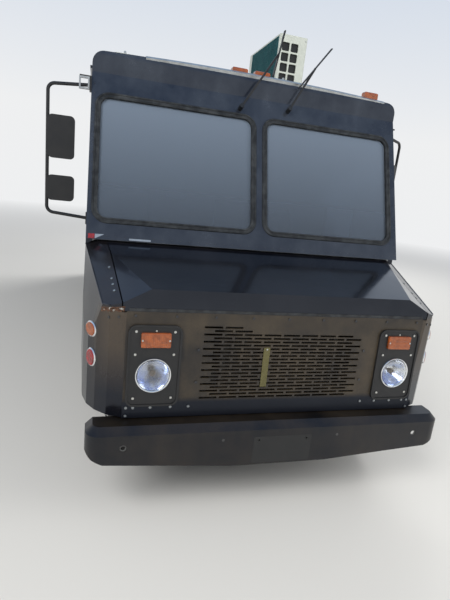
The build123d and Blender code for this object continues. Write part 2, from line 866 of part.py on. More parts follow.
def side_wall(side):
    """One side wall; the right one has the serving opening."""
    inner_x = body_half_w - wall_t
    with BuildPart() as wall:
        with BuildSketch(Plane.YZ.offset(side * (body_half_w - wall_t / 2) - wall_t / 2)):
            Polygon(*wall_outline(), align=None)
            with Locations((front_axle_y, axle_z)):
                Circle(arch_r, mode=Mode.SUBTRACT)
            with Locations((rear_axle_y, axle_z)):
                Circle(rear_arch_r, mode=Mode.SUBTRACT)
            with Locations(((doorway_front_y + doorway_rear_y) / 2, doorway_top_z / 2)):
                Rectangle(doorway_rear_y - doorway_front_y, doorway_top_z, mode=Mode.SUBTRACT)
            if side < 0:
                with Locations(((hatch_y_low + hatch_y_high) / 2, (hatch_z_low + hatch_z_high) / 2)):
                    Rectangle(hatch_y_high - hatch_y_low, hatch_z_high - hatch_z_low, mode=Mode.SUBTRACT)
        extrude(amount=wall_t)
        slab(
            sided(side, body_half_w, body_half_w + trim_proud),
            (doorway_rear_y + 60, wall_rear_y),
            (rub_rail_z - rub_rail_h / 2, rub_rail_z + rub_rail_h / 2),
        )
        slab(
            sided(side, body_half_w, body_half_w + drip_proud),
            (cap_rear_y, wall_rear_y),
            (eave_z - 22, eave_z - 4),
        )
        if side < 0:
            # Fixed hinge leaf over the serving opening
            slab(
                (-body_half_w - leaf_t, -body_half_w),
                (hatch_y_low + panel_gap, hatch_y_high - panel_gap),
                (hatch_z_high, hatch_z_high + 35),
            )
        # Track that the sliding door hangs from
        slab(
            sided(side, cab_door_x - 6, inner_x),
            (doorway_front_y - cab_door_lap, doorway_rear_y + cab_door_lap + cab_door_travel),
            (track_z, track_z + 20),
        )
    return wall.part


side_wall_left = side_wall(1)
finish(side_wall_left, "side_wall_left")
side_wall_right = side_wall(-1)
finish(side_wall_right, "side_wall_right")

# Roof: crowned sheet with rounded eaves
roof_outer = body_run(0, skirt_z, cap_rear_y, wall_rear_y)
roof_inner = body_run(wall_t, 0, cap_rear_y - 10, wall_rear_y + 10)
with BuildPart() as roof_panel:
    add(roof_outer)
    add(roof_inner, mode=Mode.SUBTRACT)
    slab((-body_half_w, body_half_w), (cap_rear_y, wall_rear_y), (0, eave_z), mode=Mode.SUBTRACT)
finish(roof_panel.part, "roof_panel")

# Rear wall with the double doorway
rear_outer = body_run(0, skirt_z, wall_rear_y, body_rear_y)
with BuildPart() as rear_wall:
    add(rear_outer)
    slab(
        (-rear_door_half_w, rear_door_half_w),
        (wall_rear_y - 10, body_rear_y + 10),
        (floor_top_z, rear_door_high_z),
        mode=Mode.SUBTRACT,
    )
    for side in (-1, 1):
        for hinge_z in rear_hinge_zs:
            slab(
                sided(side, rear_door_half_w, rear_door_half_w + 50),
                (body_rear_y, body_rear_y + leaf_t),
                (hinge_z - 40, hinge_z + 40),
            )
finish(rear_wall.part, "rear_wall")

# Floor with its sills, firewall, stepwells and wheelhouses
floor_low_z = floor_top_z - floor_t
floor_half_w = body_half_w - wall_t
floor_rear_y = wall_rear_y
sill_pitch = 600
sill_w = 50
with BuildPart() as floor_panel:
    slab(
        (-floor_half_w, floor_half_w),
        (nose_rear_y + firewall_t, floor_rear_y),
        (floor_low_z, floor_top_z),
    )
    for side in (-1, 1):
        # Lane for the sliding door
        slab(
            sided(side, door_lane_half_w, floor_half_w),
            (front_house_rear_y, lane_end_y),
            (floor_low_z, floor_top_z),
            mode=Mode.SUBTRACT,
        )
        # Openings over the wheels and at the steps
        slab(
            sided(side, wheelhouse_x, floor_half_w),
            (nose_rear_y + firewall_t, front_house_rear_y),
            (floor_low_z, floor_top_z),
            mode=Mode.SUBTRACT,
        )
        slab(
            sided(side, rear_house_x, floor_half_w),
            (rear_axle_y - rear_house_reach, rear_axle_y + rear_house_reach),
            (floor_low_z, floor_top_z),
            mode=Mode.SUBTRACT,
        )
        slab(
            sided(side, step_x, door_lane_half_w),
            (step_y_low, step_y_high),
            (floor_low_z, floor_top_z),
            mode=Mode.SUBTRACT,
        )
    # Firewall in front, with the engine's opening
    slab(
        (-floor_half_w, floor_half_w),
        (nose_rear_y, nose_rear_y + firewall_t),
        (floor_low_z, cap_low_z + 12),
    )
    slab(
        (-engine_bay_half_w, engine_bay_half_w),
        (nose_rear_y - 10, engine_rear_y + 40),
        (floor_low_z - 10, engine_top_z + 40),
        mode=Mode.SUBTRACT,
    )
    # Front and rear wheelhouses: open boxes of sheet
    for side in (-1, 1):
        houses = [
            # inner x, front y, rear y, top z
            (wheelhouse_x, nose_rear_y, front_house_rear_y, wheelhouse_top_z),
            (rear_house_x, rear_axle_y - rear_house_reach, rear_axle_y + rear_house_reach, rear_house_top_z),
        ]
        for inner_x, front_y, rear_y, top_z in houses:
            slab(sided(side, inner_x, floor_half_w), (front_y, rear_y), (floor_low_z, top_z))
            open_front = front_y - 10 if front_y == nose_rear_y else front_y + wheelhouse_t
            slab(
                sided(side, inner_x + wheelhouse_t, floor_half_w),
                (open_front, rear_y - wheelhouse_t),
                (floor_low_z, top_z - wheelhouse_t),
                mode=Mode.SUBTRACT,
            )
        # Stepwell: a tread with risers
        slab(
            sided(side, step_x - 10, door_lane_half_w),
            (step_y_low - 10, step_y_high + 10),
            (step_z, floor_low_z + 5),
        )
        slab(
            sided(side, step_x, door_lane_half_w + 10),
            (step_y_low, step_y_high),
            (step_z + 12, floor_low_z + 10),
            mode=Mode.SUBTRACT,
        )
    sill_count = int((floor_rear_y - lane_end_y - 100 - sill_w) // sill_pitch) + 1
    for index in range(sill_count):
        sill_y = lane_end_y + 100 + index * sill_pitch
        clear_of_wheels = abs(sill_y - rear_axle_y) > rear_house_reach
        sill_half = floor_half_w if clear_of_wheels else rear_house_x
        slab((-sill_half, sill_half), (sill_y, sill_y + sill_w), (rail_top_z, floor_low_z))
    for sill_y in (front_house_rear_y, step_y_high + 150):
        slab((-step_x + 15, step_x - 15), (sill_y, sill_y + sill_w), (rail_top_z, floor_low_z))
finish(floor_panel.part, "floor_panel")

# Engine cover between the seats, a hollow box over the engine's rear part
cover_rear_y = face_y + 1340
cover_top_z = 1150
with BuildPart() as engine_cover:
    slab((-360, 360), (nose_rear_y + firewall_t, cover_rear_y), (floor_top_z, cover_top_z))
    fillet(engine_cover.edges().filter_by(Axis.Y).group_by(Axis.Z)[-1], 60)
    slab(
        (-345, 345),
        (nose_rear_y + firewall_t - 5, cover_rear_y - 15),
        (floor_top_z - 5, cover_top_z - 15),
        mode=Mode.SUBTRACT,
    )
finish(engine_cover.part, "engine_cover")

# Dashboard with the steering column
wheel_x = 550
column_tilt = math.radians(35)
column_dir = Vector(0, math.sin(column_tilt), math.cos(column_tilt))
steering_centre = Vector(wheel_x, face_y + 1300, 1345)
column_r = 24
pin_r = 10
pin_len = 30
hub_drop = 25
column_top = steering_centre - column_dir * hub_drop
column_len = 560
dash_low_z = 1170
dash_rear_y = face_y + 1030
with BuildPart() as dashboard:
    with BuildSketch(Plane.YZ.offset(-1000)):
        Polygon(
            (nose_rear_y + firewall_t, dash_low_z),
            (dash_rear_y, dash_low_z),
            (dash_rear_y + 10, 1340),
            (dash_rear_y - 60, 1405),
            (nose_rear_y + firewall_t, 1440),
            align=None,
        )
    extrude(amount=2000)
    slab((wheel_x - 190, wheel_x + 190), (dash_rear_y - 130, dash_rear_y + 2), (1330, 1450))
    slab((wheel_x - 20, wheel_x + 20), (dash_rear_y - 20, dash_rear_y + 170), (1200, 1235))
    with BuildSketch(Plane(origin=column_top - column_dir * column_len, z_dir=column_dir)):
        Circle(column_r)
    extrude(amount=column_len - seat_gap)
    with BuildSketch(Plane(origin=column_top - column_dir * 20, z_dir=column_dir)):
        Circle(pin_r)
    extrude(amount=20 + pin_len)
    slab(
        (wheel_x - 100, wheel_x + 100),
        (nose_rear_y, dash_rear_y),
        (0, wheelhouse_top_z),
        mode=Mode.SUBTRACT,
    )
finish(dashboard.part, "dashboard")

# Steering wheel: rim, three spokes and hub on the column's pin
rim_big_r = 215
rim_small_r = 14
wheel_plane = Plane(origin=steering_centre, x_dir=(1, 0, 0), z_dir=column_dir)
with BuildPart() as steering_wheel:
    with BuildSketch(Plane(origin=wheel_plane.origin, x_dir=(1, 0, 0), z_dir=wheel_plane.y_dir * -1)):
        with Locations((rim_big_r, 0)):
            Circle(rim_small_r)
    revolve(axis=Axis(wheel_plane.origin, column_dir))
    with BuildSketch(wheel_plane.offset(-hub_drop)):
        Circle(45)
    extrude(amount=hub_drop + 20)
    with BuildSketch(wheel_plane.offset(-6)):
        for angle in (90, 210, 330):
            with Locations(Location((0, 0, 0), (0, 0, angle))):
                with Locations((rim_big_r / 2, 0)):
                    Rectangle(rim_big_r, 30)
    extrude(amount=10)
    with BuildSketch(wheel_plane.offset(-hub_drop)):
        Circle(pin_r + shaft_gap)
    extrude(amount=pin_len + 1, mode=Mode.SUBTRACT)
finish(steering_wheel.part, "steering_wheel")

# Driver's seat: pedestal and frame, then the pads
seat_x = 550
seat_front_y = face_y + 1560
seat_w = 460
seat_pan_z = 1085
seat_x_range = (seat_x - seat_w / 2, seat_x + seat_w / 2)
seat_frame_rear_y = seat_front_y + 460
seat_frame_t = 15
with BuildPart() as seat_frame:
    slab((seat_x - 150, seat_x + 150), (seat_front_y + 60, seat_front_y + 360), (floor_top_z, seat_pan_z - 25))
    slab(seat_x_range, (seat_front_y, seat_frame_rear_y), (seat_pan_z - 25, seat_pan_z))
    slab(seat_x_range, (seat_frame_rear_y - seat_frame_t, seat_frame_rear_y), (seat_pan_z, 1600))
finish(seat_frame.part, "seat_frame")
with BuildPart() as seat_cushion:
    slab(seat_x_range, (seat_front_y, seat_front_y + 330), (seat_pan_z, seat_pan_z + 110))
    fillet(seat_cushion.edges(), 25)
with BuildPart() as seat_back:
    back_y = seat_frame_rear_y - seat_frame_t
    slab(seat_x_range, (back_y - 100, back_y), (seat_pan_z + 10, 1700))
    fillet(seat_back.edges(), 25)
seat_pads = Compound(children=[seat_cushion.part, seat_back.part])
finish(seat_pads, "seat_pads")

# Kitchen counters: a stainless run along each side between the door lane and the rear wheels
counter_depth = 560
counter_h = 900
counter_y = (face_y + 2760, face_y + 4160)
shelf_t = 30
counter_solids = []
for side in (-1, 1):
    with BuildPart() as counter:
        x_range = sided(side, floor_half_w - counter_depth, floor_half_w - 1)
        slab(x_range, counter_y, (floor_top_z, floor_top_z + counter_h))
        for bay_low, bay_high in ((80, 420), (450, counter_h - shelf_t)):
            slab(
                sided(side, floor_half_w - counter_depth - 5, floor_half_w - 30),
                (counter_y[0] + 30, counter_y[1] - 30),
                (floor_top_z + bay_low, floor_top_z + bay_high),
                mode=Mode.SUBTRACT,
            )
    counter_solids.append(counter.part)
kitchen_counters = Compound(children=counter_solids)
finish(kitchen_counters, "kitchen_counters")

# Roof condenser: casing on two feet, with a grid on its front end and a fan ring on its left face
cond_x = (470, 745)
cond_y = (face_y + 2050, face_y + 2940)
cond_low_z = 2725
cond_h = 555
cond_top_z = cond_low_z + cond_h
cond_t = 12
fan_y = face_y + 2610
fan_z = cond_low_z + cond_h / 2
fan_r = 215
grid_pitch = 88
grid_hole = 74
grid_rows = 5
grid_columns = 2
coil_t = 22
guard_rings = [60, 105, 150, 195]
roof_form = body_run(-seat_gap, 0, cap_rear_y, body_rear_y)
with BuildPart() as condenser_case:
    slab(cond_x, cond_y, (cond_low_z, cond_top_z))
    fillet(condenser_case.edges().filter_by(Axis.Z), 18)
    slab(
        (cond_x[0] - 5, cond_x[1] - cond_t),
        (cond_y[0] + cond_t, cond_y[1] - cond_t),
        (cond_low_z + cond_t, cond_top_z - cond_t),
        mode=Mode.SUBTRACT,
    )
    # Corner returns beside the open coil face
    for return_y in ((cond_y[0] + cond_t, cond_y[0] + 30), (cond_y[1] - 90, cond_y[1] - cond_t)):
        slab((cond_x[0], cond_x[0] + cond_t), return_y, (cond_low_z + cond_t, cond_top_z - cond_t))
    with BuildSketch(Plane.XZ.offset(-(cond_y[0] - 5))):
        with Locations((cond_x[0] + 20 + grid_pitch * grid_columns / 2, (cond_low_z + cond_top_z) / 2)):
            with GridLocations(grid_pitch, grid_pitch, grid_columns, grid_rows):
                RectangleRounded(grid_hole, grid_hole, 12)
    extrude(amount=-(cond_t + 10), mode=Mode.SUBTRACT)
    with BuildSketch(Plane.YZ.offset(cond_x[1] - cond_t - 5)):
        with Locations((fan_y, fan_z)):
            Circle(fan_r + 15)
    extrude(amount=cond_t + 10, mode=Mode.SUBTRACT)
    # Wire guard over the fan: rings joined by straight bars
    with BuildSketch(Plane.YZ.offset(cond_x[1] - 4)):
        with Locations((fan_y, fan_z)):
            for ring_r in guard_rings:
                Circle(ring_r)
                Circle(ring_r - 5, mode=Mode.SUBTRACT)
            for angle in range(0, 180, 45):
                Rectangle(2 * (fan_r + 18), 5, rotation=angle)
            Circle(35)
    extrude(amount=4)
    # Motor bracket and pin for the fan
    slab(
        (cond_x[0] + 90, cond_x[0] + 100),
        (fan_y - 40, fan_y + 40),
        (cond_low_z + cond_t, cond_top_z - cond_t),
    )
    with Locations(Location((cond_x[0] + 130, fan_y, fan_z), (0, 90, 0))):
        Cylinder(45, 60)
    with Locations(Location((cond_x[0] + 175, fan_y, fan_z), (0, 90, 0))):
        Cylinder(8, 40)
    # Feet on the crowned roof
    for foot_y in (cond_y[0] + 130, cond_y[1] - 170):
        foot_z = (eave_z + roof_corner_r + 10, cond_low_z)
        slab((cond_x[0] - 20, cond_x[1] + 20), (foot_y, foot_y + 40), foot_z)
    add(roof_form, mode=Mode.SUBTRACT)
finish(condenser_case.part, "condenser_case")

# Finned coil on the face towards the right, turning the corner behind the grid
with BuildPart() as condenser_coil:
    slab(
        (cond_x[0] + 2, cond_x[0] + 2 + coil_t),
        (cond_y[0] + 30 + seat_gap, cond_y[1] - 90 - seat_gap),
        (cond_low_z + cond_t, cond_top_z - cond_t),
    )
    slab(
        (cond_x[0] + 14, cond_x[0] + 215),
        (cond_y[0] + cond_t + 2 + coil_t, cond_y[0] + cond_t + 2 + 2 * coil_t),
        (cond_low_z + cond_t, cond_top_z - cond_t),
    )
finish(condenser_coil.part, "condenser_coil")

# Condenser fan: hub and three swept blades
with BuildPart() as condenser_fan:
    fan_plane = Plane.YZ.offset(cond_x[0] + 165)
    with BuildSketch(fan_plane):
        with Locations((fan_y, fan_z)):
            Circle(55)
    extrude(amount=45)
    for angle in (0, 120, 240):
        blade_axis = Vector(0, math.cos(math.radians(angle)), math.sin(math.radians(angle)))
        blade_plane = Plane(
            origin=Vector(cond_x[0] + 188, fan_y, fan_z) + blade_axis * 50,
            x_dir=(1, 0, 0),
            z_dir=blade_axis,
        )
        with BuildSketch(blade_plane):
            Rectangle(5, 95, rotation=32)
        with BuildSketch(blade_plane.offset(fan_r - 60)):
            Rectangle(4, 150, rotation=20)
        loft()
    with BuildSketch(fan_plane):
        with Locations((fan_y, fan_z)):
            Circle(8 + shaft_gap)
    extrude(amount=31, mode=Mode.SUBTRACT)
finish(condenser_fan.part, "condenser_fan")

# Kitchen exhaust: square curb on the roof with a round weather cap
vent_x = -450
vent_y = face_y + 4300
vent_cap_r = 290
vent_rim_z = 2965
vent_rise = 145
vent_mid_r, vent_mid_rise = dome_middle(vent_cap_r, vent_rise)
with BuildPart() as exhaust_vent:
    slab((vent_x - 230, vent_x + 230), (vent_y - 230, vent_y + 230), (eave_z + 60, 2790))
    with Locations((vent_x, vent_y, 2860)):
        Cylinder(190, 140)
    with BuildSketch(Plane.XZ.offset(-vent_y)):
        with BuildLine():
            Line((vent_x, 2930), (vent_x + vent_cap_r, 2930))
            Line((vent_x + vent_cap_r, 2930), (vent_x + vent_cap_r, vent_rim_z))
            ThreePointArc(
                (vent_x + vent_cap_r, vent_rim_z),
                (vent_x + vent_mid_r, vent_rim_z + vent_mid_rise),
                (vent_x, vent_rim_z + vent_rise),
            )
            Line((vent_x, vent_rim_z + vent_rise), (vent_x, 2930))
        make_face()
    revolve(axis=Axis((vent_x, vent_y, 0), (0, 0, 1)))
    add(roof_form, mode=Mode.SUBTRACT)
finish(exhaust_vent.part, "exhaust_vent")

# Mirrors: a tube loop with two heads on each side
mirror_reach = 1410
loop_top_z = 2390
loop_low_z = 1583
tube_half = 11
mirror_heads = [
    # width, low, high
    (166, 1936, 2207),
    (170, 1661, 1827),
]
head_t = 38
mirror_stations = {1: face_y + 1150, -1: face_y + 1050}
mirror_swings = {1: 30, -1: 0}


def mirror(side):
    """One mirror loop; its arms stand on the side wall, swung back by the side's angle."""
    station = mirror_stations[side]
    swing = mirror_swings[side]
    arm_end_x = body_half_w + (mirror_reach - body_half_w) / math.cos(math.radians(swing))
    with BuildPart() as loop:
        with BuildLine():
            FilletPolyline(
                (side * body_half_w, station, loop_top_z + 25),
                (side * arm_end_x, station, loop_top_z),
                (side * arm_end_x, station, loop_low_z),
                (side * body_half_w, station, loop_low_z - 25),
                radius=45,
            )
        with BuildSketch(
            Plane(origin=(side * body_half_w, station, loop_top_z + 25), z_dir=(side, 0, -0.1))
        ):
            Circle(tube_half)
        sweep()
        for head_w, head_low_z, head_high_z in mirror_heads:
            with BuildSketch(Plane.XZ.offset(-(station - tube_half))):
                with Locations((side * (arm_end_x - 2 - head_w / 2), (head_low_z + head_high_z) / 2)):
                    RectangleRounded(head_w, head_high_z - head_low_z, 28)
            extrude(amount=-head_t)
    wall_pivot = Axis((side * body_half_w, station, 0), (0, 0, 1))
    swung_loop = loop.part.rotate(wall_pivot, side * swing)
    with BuildPart() as arms:
        add(swung_loop)
        for plate_z in (loop_top_z + 25, loop_low_z - 25):
            slab(
                sided(side, body_half_w, body_half_w + 12),
                (station - 30, station + 30),
                (plate_z - 40, plate_z + 40),
            )
        slab(
            sided(side, body_half_w, body_half_w + 14),
            (station - 12, station + 12),
            (loop_top_z + 25, loop_top_z + 75),
        )
        slab(
            sided(side, body_half_w, body_half_w + 75),
            (station - 12, station + 12),
            (loop_top_z + 70, loop_top_z + 80),
        )
        # Anything inside the wall's plane is cut off flush
        slab((-body_half_w, body_half_w), (station - 200, station + 200), (1000, 3000), mode=Mode.SUBTRACT)
    return arms.part


finish(mirror(1), "mirror_left")
finish(mirror(-1), "mirror_right")

# Wipers raised upwards: pivot, arm and blade on each side of the middle
wiper_table = [
    # pivot x, pivot z, blade middle x, middle z, tip x, tip z
    (-132, 2416, 107, 2813, 131, 2965),
    (236, 2452, 399, 2767, 506, 2915),
]
wiper_lift = 45
blade_y = face_y + 1030
wiper_solids = []
for pivot_x, pivot_z, middle_x, middle_z, tip_x, tip_z in wiper_table:
    cap_out = Vector(0, -1, cap_slope).normalized()
    pivot = Vector(pivot_x, cap_front_y(pivot_z), pivot_z) + cap_out * seat_gap
    arm_start = pivot + cap_out * wiper_lift
    arm_end = Vector(middle_x, blade_y, middle_z)
    arm_dir = (arm_end - arm_start).normalized()
    half_blade = Vector(tip_x - middle_x, 0, tip_z - middle_z)
    blade_dir = half_blade.normalized()
    blade_low = arm_end - half_blade
    with BuildPart() as wiper:
        with BuildSketch(Plane(origin=pivot, z_dir=cap_out)):
            Circle(16)
        extrude(amount=wiper_lift + 8)
        arm_side = arm_dir.cross(Vector(0, 1, 0)).normalized()
        with BuildSketch(Plane(origin=arm_start, x_dir=arm_side, z_dir=arm_dir)):
            Rectangle(14, 8)
        extrude(amount=(arm_end - arm_start).length)
        blade_side = blade_dir.cross(Vector(0, 1, 0)).normalized()
        with BuildSketch(Plane(origin=blade_low, x_dir=blade_side, z_dir=blade_dir)):
            Rectangle(8, 22)
        extrude(amount=2 * half_blade.length)
    wiper_solids.append(wiper.part)
wipers = Compound(children=wiper_solids)
finish(wipers, "wipers")

# Amber lamps: turn signals, roof lamps and the side markers of the nose
roof_lamp_xs = [-140, 30, 935]
roof_lamp_y = face_y + 1130
roof_lamp_size = (116, 48, 36)
amber_solids = []
for side in (-1, 1):
    with BuildPart() as signal:
        with BuildSketch(face_plane.offset(bezel_t)):
            with Locations((side * signal_x, signal_z * lean)):
                RectangleRounded(signal_w, signal_h, 8)
        extrude(amount=16)
        fillet(signal.faces().sort_by(Axis.Y)[0].edges(), 5)
    amber_solids.append(signal.part)
lamp_form = body_run(-seat_gap, 0, roof_lamp_y - 100, roof_lamp_y + 100)
for lamp_at_x in roof_lamp_xs:
    with BuildPart() as roof_lamp:
        slab(
            (lamp_at_x - roof_lamp_size[0] / 2, lamp_at_x + roof_lamp_size[0] / 2),
            (roof_lamp_y - roof_lamp_size[1] / 2, roof_lamp_y + roof_lamp_size[1] / 2),
            (eave_z, roof_top_z + roof_lamp_size[2]),
        )
        fillet(roof_lamp.edges().group_by(Axis.Z)[-1], 14)
        add(lamp_form, mode=Mode.SUBTRACT)
    amber_solids.append(roof_lamp.part)
marker_spots = {
    # station, height, half length, half height
    "amber": (face_y + 145, 1053, 46, 38),
    "red": (face_y + 137, 893, 40, 47),
}
flank_front = (body_half_w - nose_plan[2][0], face_y + nose_plan[2][1])
flank_rear = (body_half_w - nose_plan[3][0], face_y + nose_plan[3][1])


def side_marker(side, spot_y, spot_z, half_length, half_height):
    """Oval lamp standing on the nose's rounded corner."""
    flank_t = (spot_y - flank_front[1]) / (flank_rear[1] - flank_front[1])
    flank_x = flank_front[0] + flank_t * (flank_rear[0] - flank_front[0])
    flank_dir = Vector(side * (flank_rear[0] - flank_front[0]), flank_rear[1] - flank_front[1], 0).normalized()
    outward = Vector(side, 0, 0) - flank_dir * (flank_dir.X * side)
    outward = outward.normalized()
    with BuildPart() as marker:
        with BuildSketch(
            Plane(
                origin=Vector(side * flank_x, spot_y, spot_z) + outward * seat_gap,
                x_dir=flank_dir,
                z_dir=outward,
            )
        ):
            Ellipse(half_length, half_height)
        extrude(amount=14)
        fillet(marker.faces().sort_by(Axis(Vector(0, 0, 0), outward))[-1].edges(), 8)
    return marker.part


for side in (-1, 1):
    amber_solids.append(side_marker(side, *marker_spots["amber"]))
amber_lamps = Compound(children=amber_solids)
finish(amber_lamps, "amber_lamps")

# Red lamps: side reflectors of the nose and the tail lamps
tail_lamp_x = body_half_w - 215
tail_lamp_zs = [980, 1130]
tail_lamp_r = 52
red_solids = [side_marker(side, *marker_spots["red"]) for side in (-1, 1)]
for side in (-1, 1):
    for lamp_z_at in tail_lamp_zs:
        with BuildPart() as tail_lamp:
            with BuildSketch(Plane.XZ.offset(-body_rear_y)):
                with Locations((side * tail_lamp_x, lamp_z_at)):
                    Circle(tail_lamp_r)
            extrude(amount=-10)
            chamfer(tail_lamp.edges().group_by(Axis.Y)[-1], 4)
        red_solids.append(tail_lamp.part)
red_lamps = Compound(children=red_solids)
finish(red_lamps, "red_lamps")


# Sliding cab door with its window; it hangs from the track on the wall
def cab_door(side):
    outer = sided(side, cab_door_x, cab_door_x + cab_door_t)
    y_low = doorway_front_y - cab_door_lap
    y_high = doorway_rear_y + cab_door_lap
    with BuildPart() as door:
        slab(outer, (y_low, y_high), (cab_door_low_z, cab_door_high_z))
        with BuildSketch(Plane.YZ.offset(outer[0] - 5)):
            with Locations(((y_low + y_high) / 2, (door_window_low_z + door_window_high_z) / 2)):
                RectangleRounded(
                    y_high - y_low - 2 * door_window_inset, door_window_high_z - door_window_low_z, 50
                )
        extrude(amount=cab_door_t + 10, mode=Mode.SUBTRACT)
    return door.part


def cab_glass(side):
    """Pane in a cab door."""
    middle_x = side * (cab_door_x + cab_door_t / 2)
    y_low = doorway_front_y - cab_door_lap + door_window_inset + seat_gap
    y_high = doorway_rear_y + cab_door_lap - door_window_inset - seat_gap
    with BuildPart() as glass:
        with BuildSketch(Plane.YZ.offset(middle_x - glass_t / 2)):
            with Locations(((y_low + y_high) / 2, (door_window_low_z + door_window_high_z) / 2)):
                RectangleRounded(y_high - y_low, door_window_high_z - door_window_low_z - 2 * seat_gap, 50)
        extrude(amount=glass_t)
    return glass.part


# Hinged rear door with its window and the hinge barrels on its outer edge
def rear_door(side):
    x_range = sided(side, panel_gap / 2, rear_door_half_w - panel_gap)
    low_z = floor_top_z + panel_gap
    high_z = rear_door_high_z - panel_gap
    middle_x = side * (panel_gap / 2 + rear_door_half_w - panel_gap) / 2
    with BuildPart() as door:
        slab(x_range, (wall_rear_y, body_rear_y), (low_z, high_z))
        with BuildSketch(Plane.XZ.offset(-(wall_rear_y - 5))):
            with Locations((middle_x, (rear_window_low_z + rear_window_high_z) / 2)):
                RectangleRounded(
                    rear_door_half_w - 2 * rear_window_inset, rear_window_high_z - rear_window_low_z, 40
                )
        extrude(amount=-(wall_t + 10), mode=Mode.SUBTRACT)
        for hinge_z in rear_hinge_zs:
            with Locations((side * rear_door_half_w, body_rear_y + hinge_proud, hinge_z)):
                Cylinder(hinge_r, 90)
            slab(
                sided(side, rear_door_half_w - 60, rear_door_half_w),
                (body_rear_y, body_rear_y + hinge_proud - 2),
                (hinge_z - 40, hinge_z + 40),
            )
    return door.part


def rear_glass(side):
    """Pane in a rear door."""
    middle_x = side * (panel_gap / 2 + rear_door_half_w - panel_gap) / 2
    with BuildPart() as glass:
        with BuildSketch(Plane.XZ.offset(-(body_rear_y - wall_t / 2))):
            with Locations((middle_x, (rear_window_low_z + rear_window_high_z) / 2)):
                RectangleRounded(
                    rear_door_half_w - 2 * rear_window_inset - 2 * seat_gap,
                    rear_window_high_z - rear_window_low_z - 2 * seat_gap,
                    40,
                )
        extrude(amount=-glass_t)
    return glass.part


for side, word in ((1, "left"), (-1, "right")):
    finish(cab_door(side), f"cab_door_{word}")
    finish(cab_glass(side), f"cab_glass_{word}")
    finish(rear_door(side), f"rear_door_{word}")
    finish(rear_glass(side), f"rear_glass_{word}")

# Serving hatch, hinged along its top edge
with BuildPart() as service_hatch:
    slab(
        (-body_half_w, -body_half_w + wall_t),
        (hatch_y_low + panel_gap, hatch_y_high - panel_gap),
        (hatch_z_low + panel_gap, hatch_z_high - panel_gap),
    )
    slab(
        (-body_half_w - hinge_proud + 2, -body_half_w),
        (hatch_y_low + panel_gap, hatch_y_high - panel_gap),
        (hatch_z_high - 40, hatch_z_high - panel_gap),
    )
    with Locations(
        Location((-body_half_w - hinge_proud, (hatch_y_low + hatch_y_high) / 2, hatch_z_high), (90, 0, 0))
    ):
        Cylinder(hinge_r, hatch_y_high - hatch_y_low - 2 * panel_gap)
finish(service_hatch.part, "service_hatch")

# Stub axles: yoke and kingpin, spindle, brake backing plate and steering arm
yoke_x = (kingpin_x - 50, kingpin_x + 48)
yoke_back_x = kingpin_x + 75
arm_t = 30
backing_r = 150
spindle_end_x = front_wheel_x + disc_offset + 15


def knuckle(side):
    """One steered stub axle."""
    top_z = axle_z + boss_half_h + seat_gap
    low_z = axle_z - boss_half_h - seat_gap
    with BuildPart() as stub:
        for z_range in ((top_z, top_z + arm_t), (low_z - arm_t, low_z)):
            slab(sided(side, yoke_x[0], yoke_back_x), (front_axle_y - 45, front_axle_y + 45), z_range)
        slab(
            sided(side, yoke_x[1], yoke_back_x),
            (front_axle_y - 45, front_axle_y + 45),
            (low_z - arm_t, top_z + arm_t),
        )
        with Locations((side * kingpin_x, front_axle_y, axle_z)):
            Cylinder(kingpin_r, 2 * boss_half_h + arm_t)
        with BuildSketch(Plane.YZ.offset(side * yoke_back_x)):
            with Locations((front_axle_y, axle_z)):
                Circle(spindle_r)
        extrude(amount=side * (spindle_end_x - yoke_back_x))
        with BuildSketch(Plane.YZ.offset(side * yoke_back_x)):
            with Locations((front_axle_y, axle_z)):
                Circle(backing_r)
        extrude(amount=side * 10)
        slab(
            sided(side, kingpin_x - 45, kingpin_x - 5),
            (front_axle_y + 45, front_axle_y + 190),
            (low_z - arm_t, low_z - arm_t + 20),
        )
    return stub.part


def tyre(centre_x, axle_y):
    """Tyre around the rim's beads, with bevelled shoulders."""
    half = tyre_w / 2
    bead_x = rim_half_w - rim_flange_t - seat_gap
    with BuildPart() as ring:
        with BuildSketch(Plane(origin=(centre_x, axle_y, axle_z), x_dir=(1, 0, 0), z_dir=(0, -1, 0))):
            with BuildLine():
                Line((-bead_x, bead_r + seat_gap), (bead_x, bead_r + seat_gap))
                Line((bead_x, bead_r + seat_gap), (bead_x, rim_flange_r + 4))
                Line((bead_x, rim_flange_r + 4), (bead_x + 9, rim_flange_r + 4))
                Polyline(
                    (bead_x + 9, rim_flange_r + 4),
                    (half, tyre_belly_r),
                    (half - 8, tyre_r - 26),
                    (half - 32, tyre_r),
                    (32 - half, tyre_r),
                    (8 - half, tyre_r - 26),
                    (-half, tyre_belly_r),
                    (-bead_x - 9, rim_flange_r + 4),
                )
                Line((-bead_x - 9, rim_flange_r + 4), (-bead_x, rim_flange_r + 4))
                Line((-bead_x, rim_flange_r + 4), (-bead_x, bead_r + seat_gap))
            make_face()
        revolve(axis=Axis((centre_x, axle_y, axle_z), (1, 0, 0)))
    return ring.part


def rim_profile(toward):
    """Half section of a dished wheel as pairs of outlines; toward is where the disc dishes."""
    inner = bead_r - rim_t
    barrel = [(-rim_half_w, inner), (rim_half_w, inner), (rim_half_w, bead_r), (-rim_half_w, bead_r)]
    flange_left = [
        (-rim_half_w, inner),
        (-rim_half_w + rim_flange_t, inner),
        (-rim_half_w + rim_flange_t, rim_flange_r),
        (-rim_half_w, rim_flange_r),
    ]
    flange_right = [(-x, r) for x, r in flange_left]
    dish = [
        (toward * 30, inner + 1),
        (toward * (30 + disc_t), inner + 1),
        (toward * disc_offset, disc_r),
        (toward * disc_offset, 40),
        (toward * (disc_offset - disc_t), 40),
        (toward * (disc_offset - disc_t), disc_r - 4),
    ]
    return [barrel, flange_left, flange_right, dish]


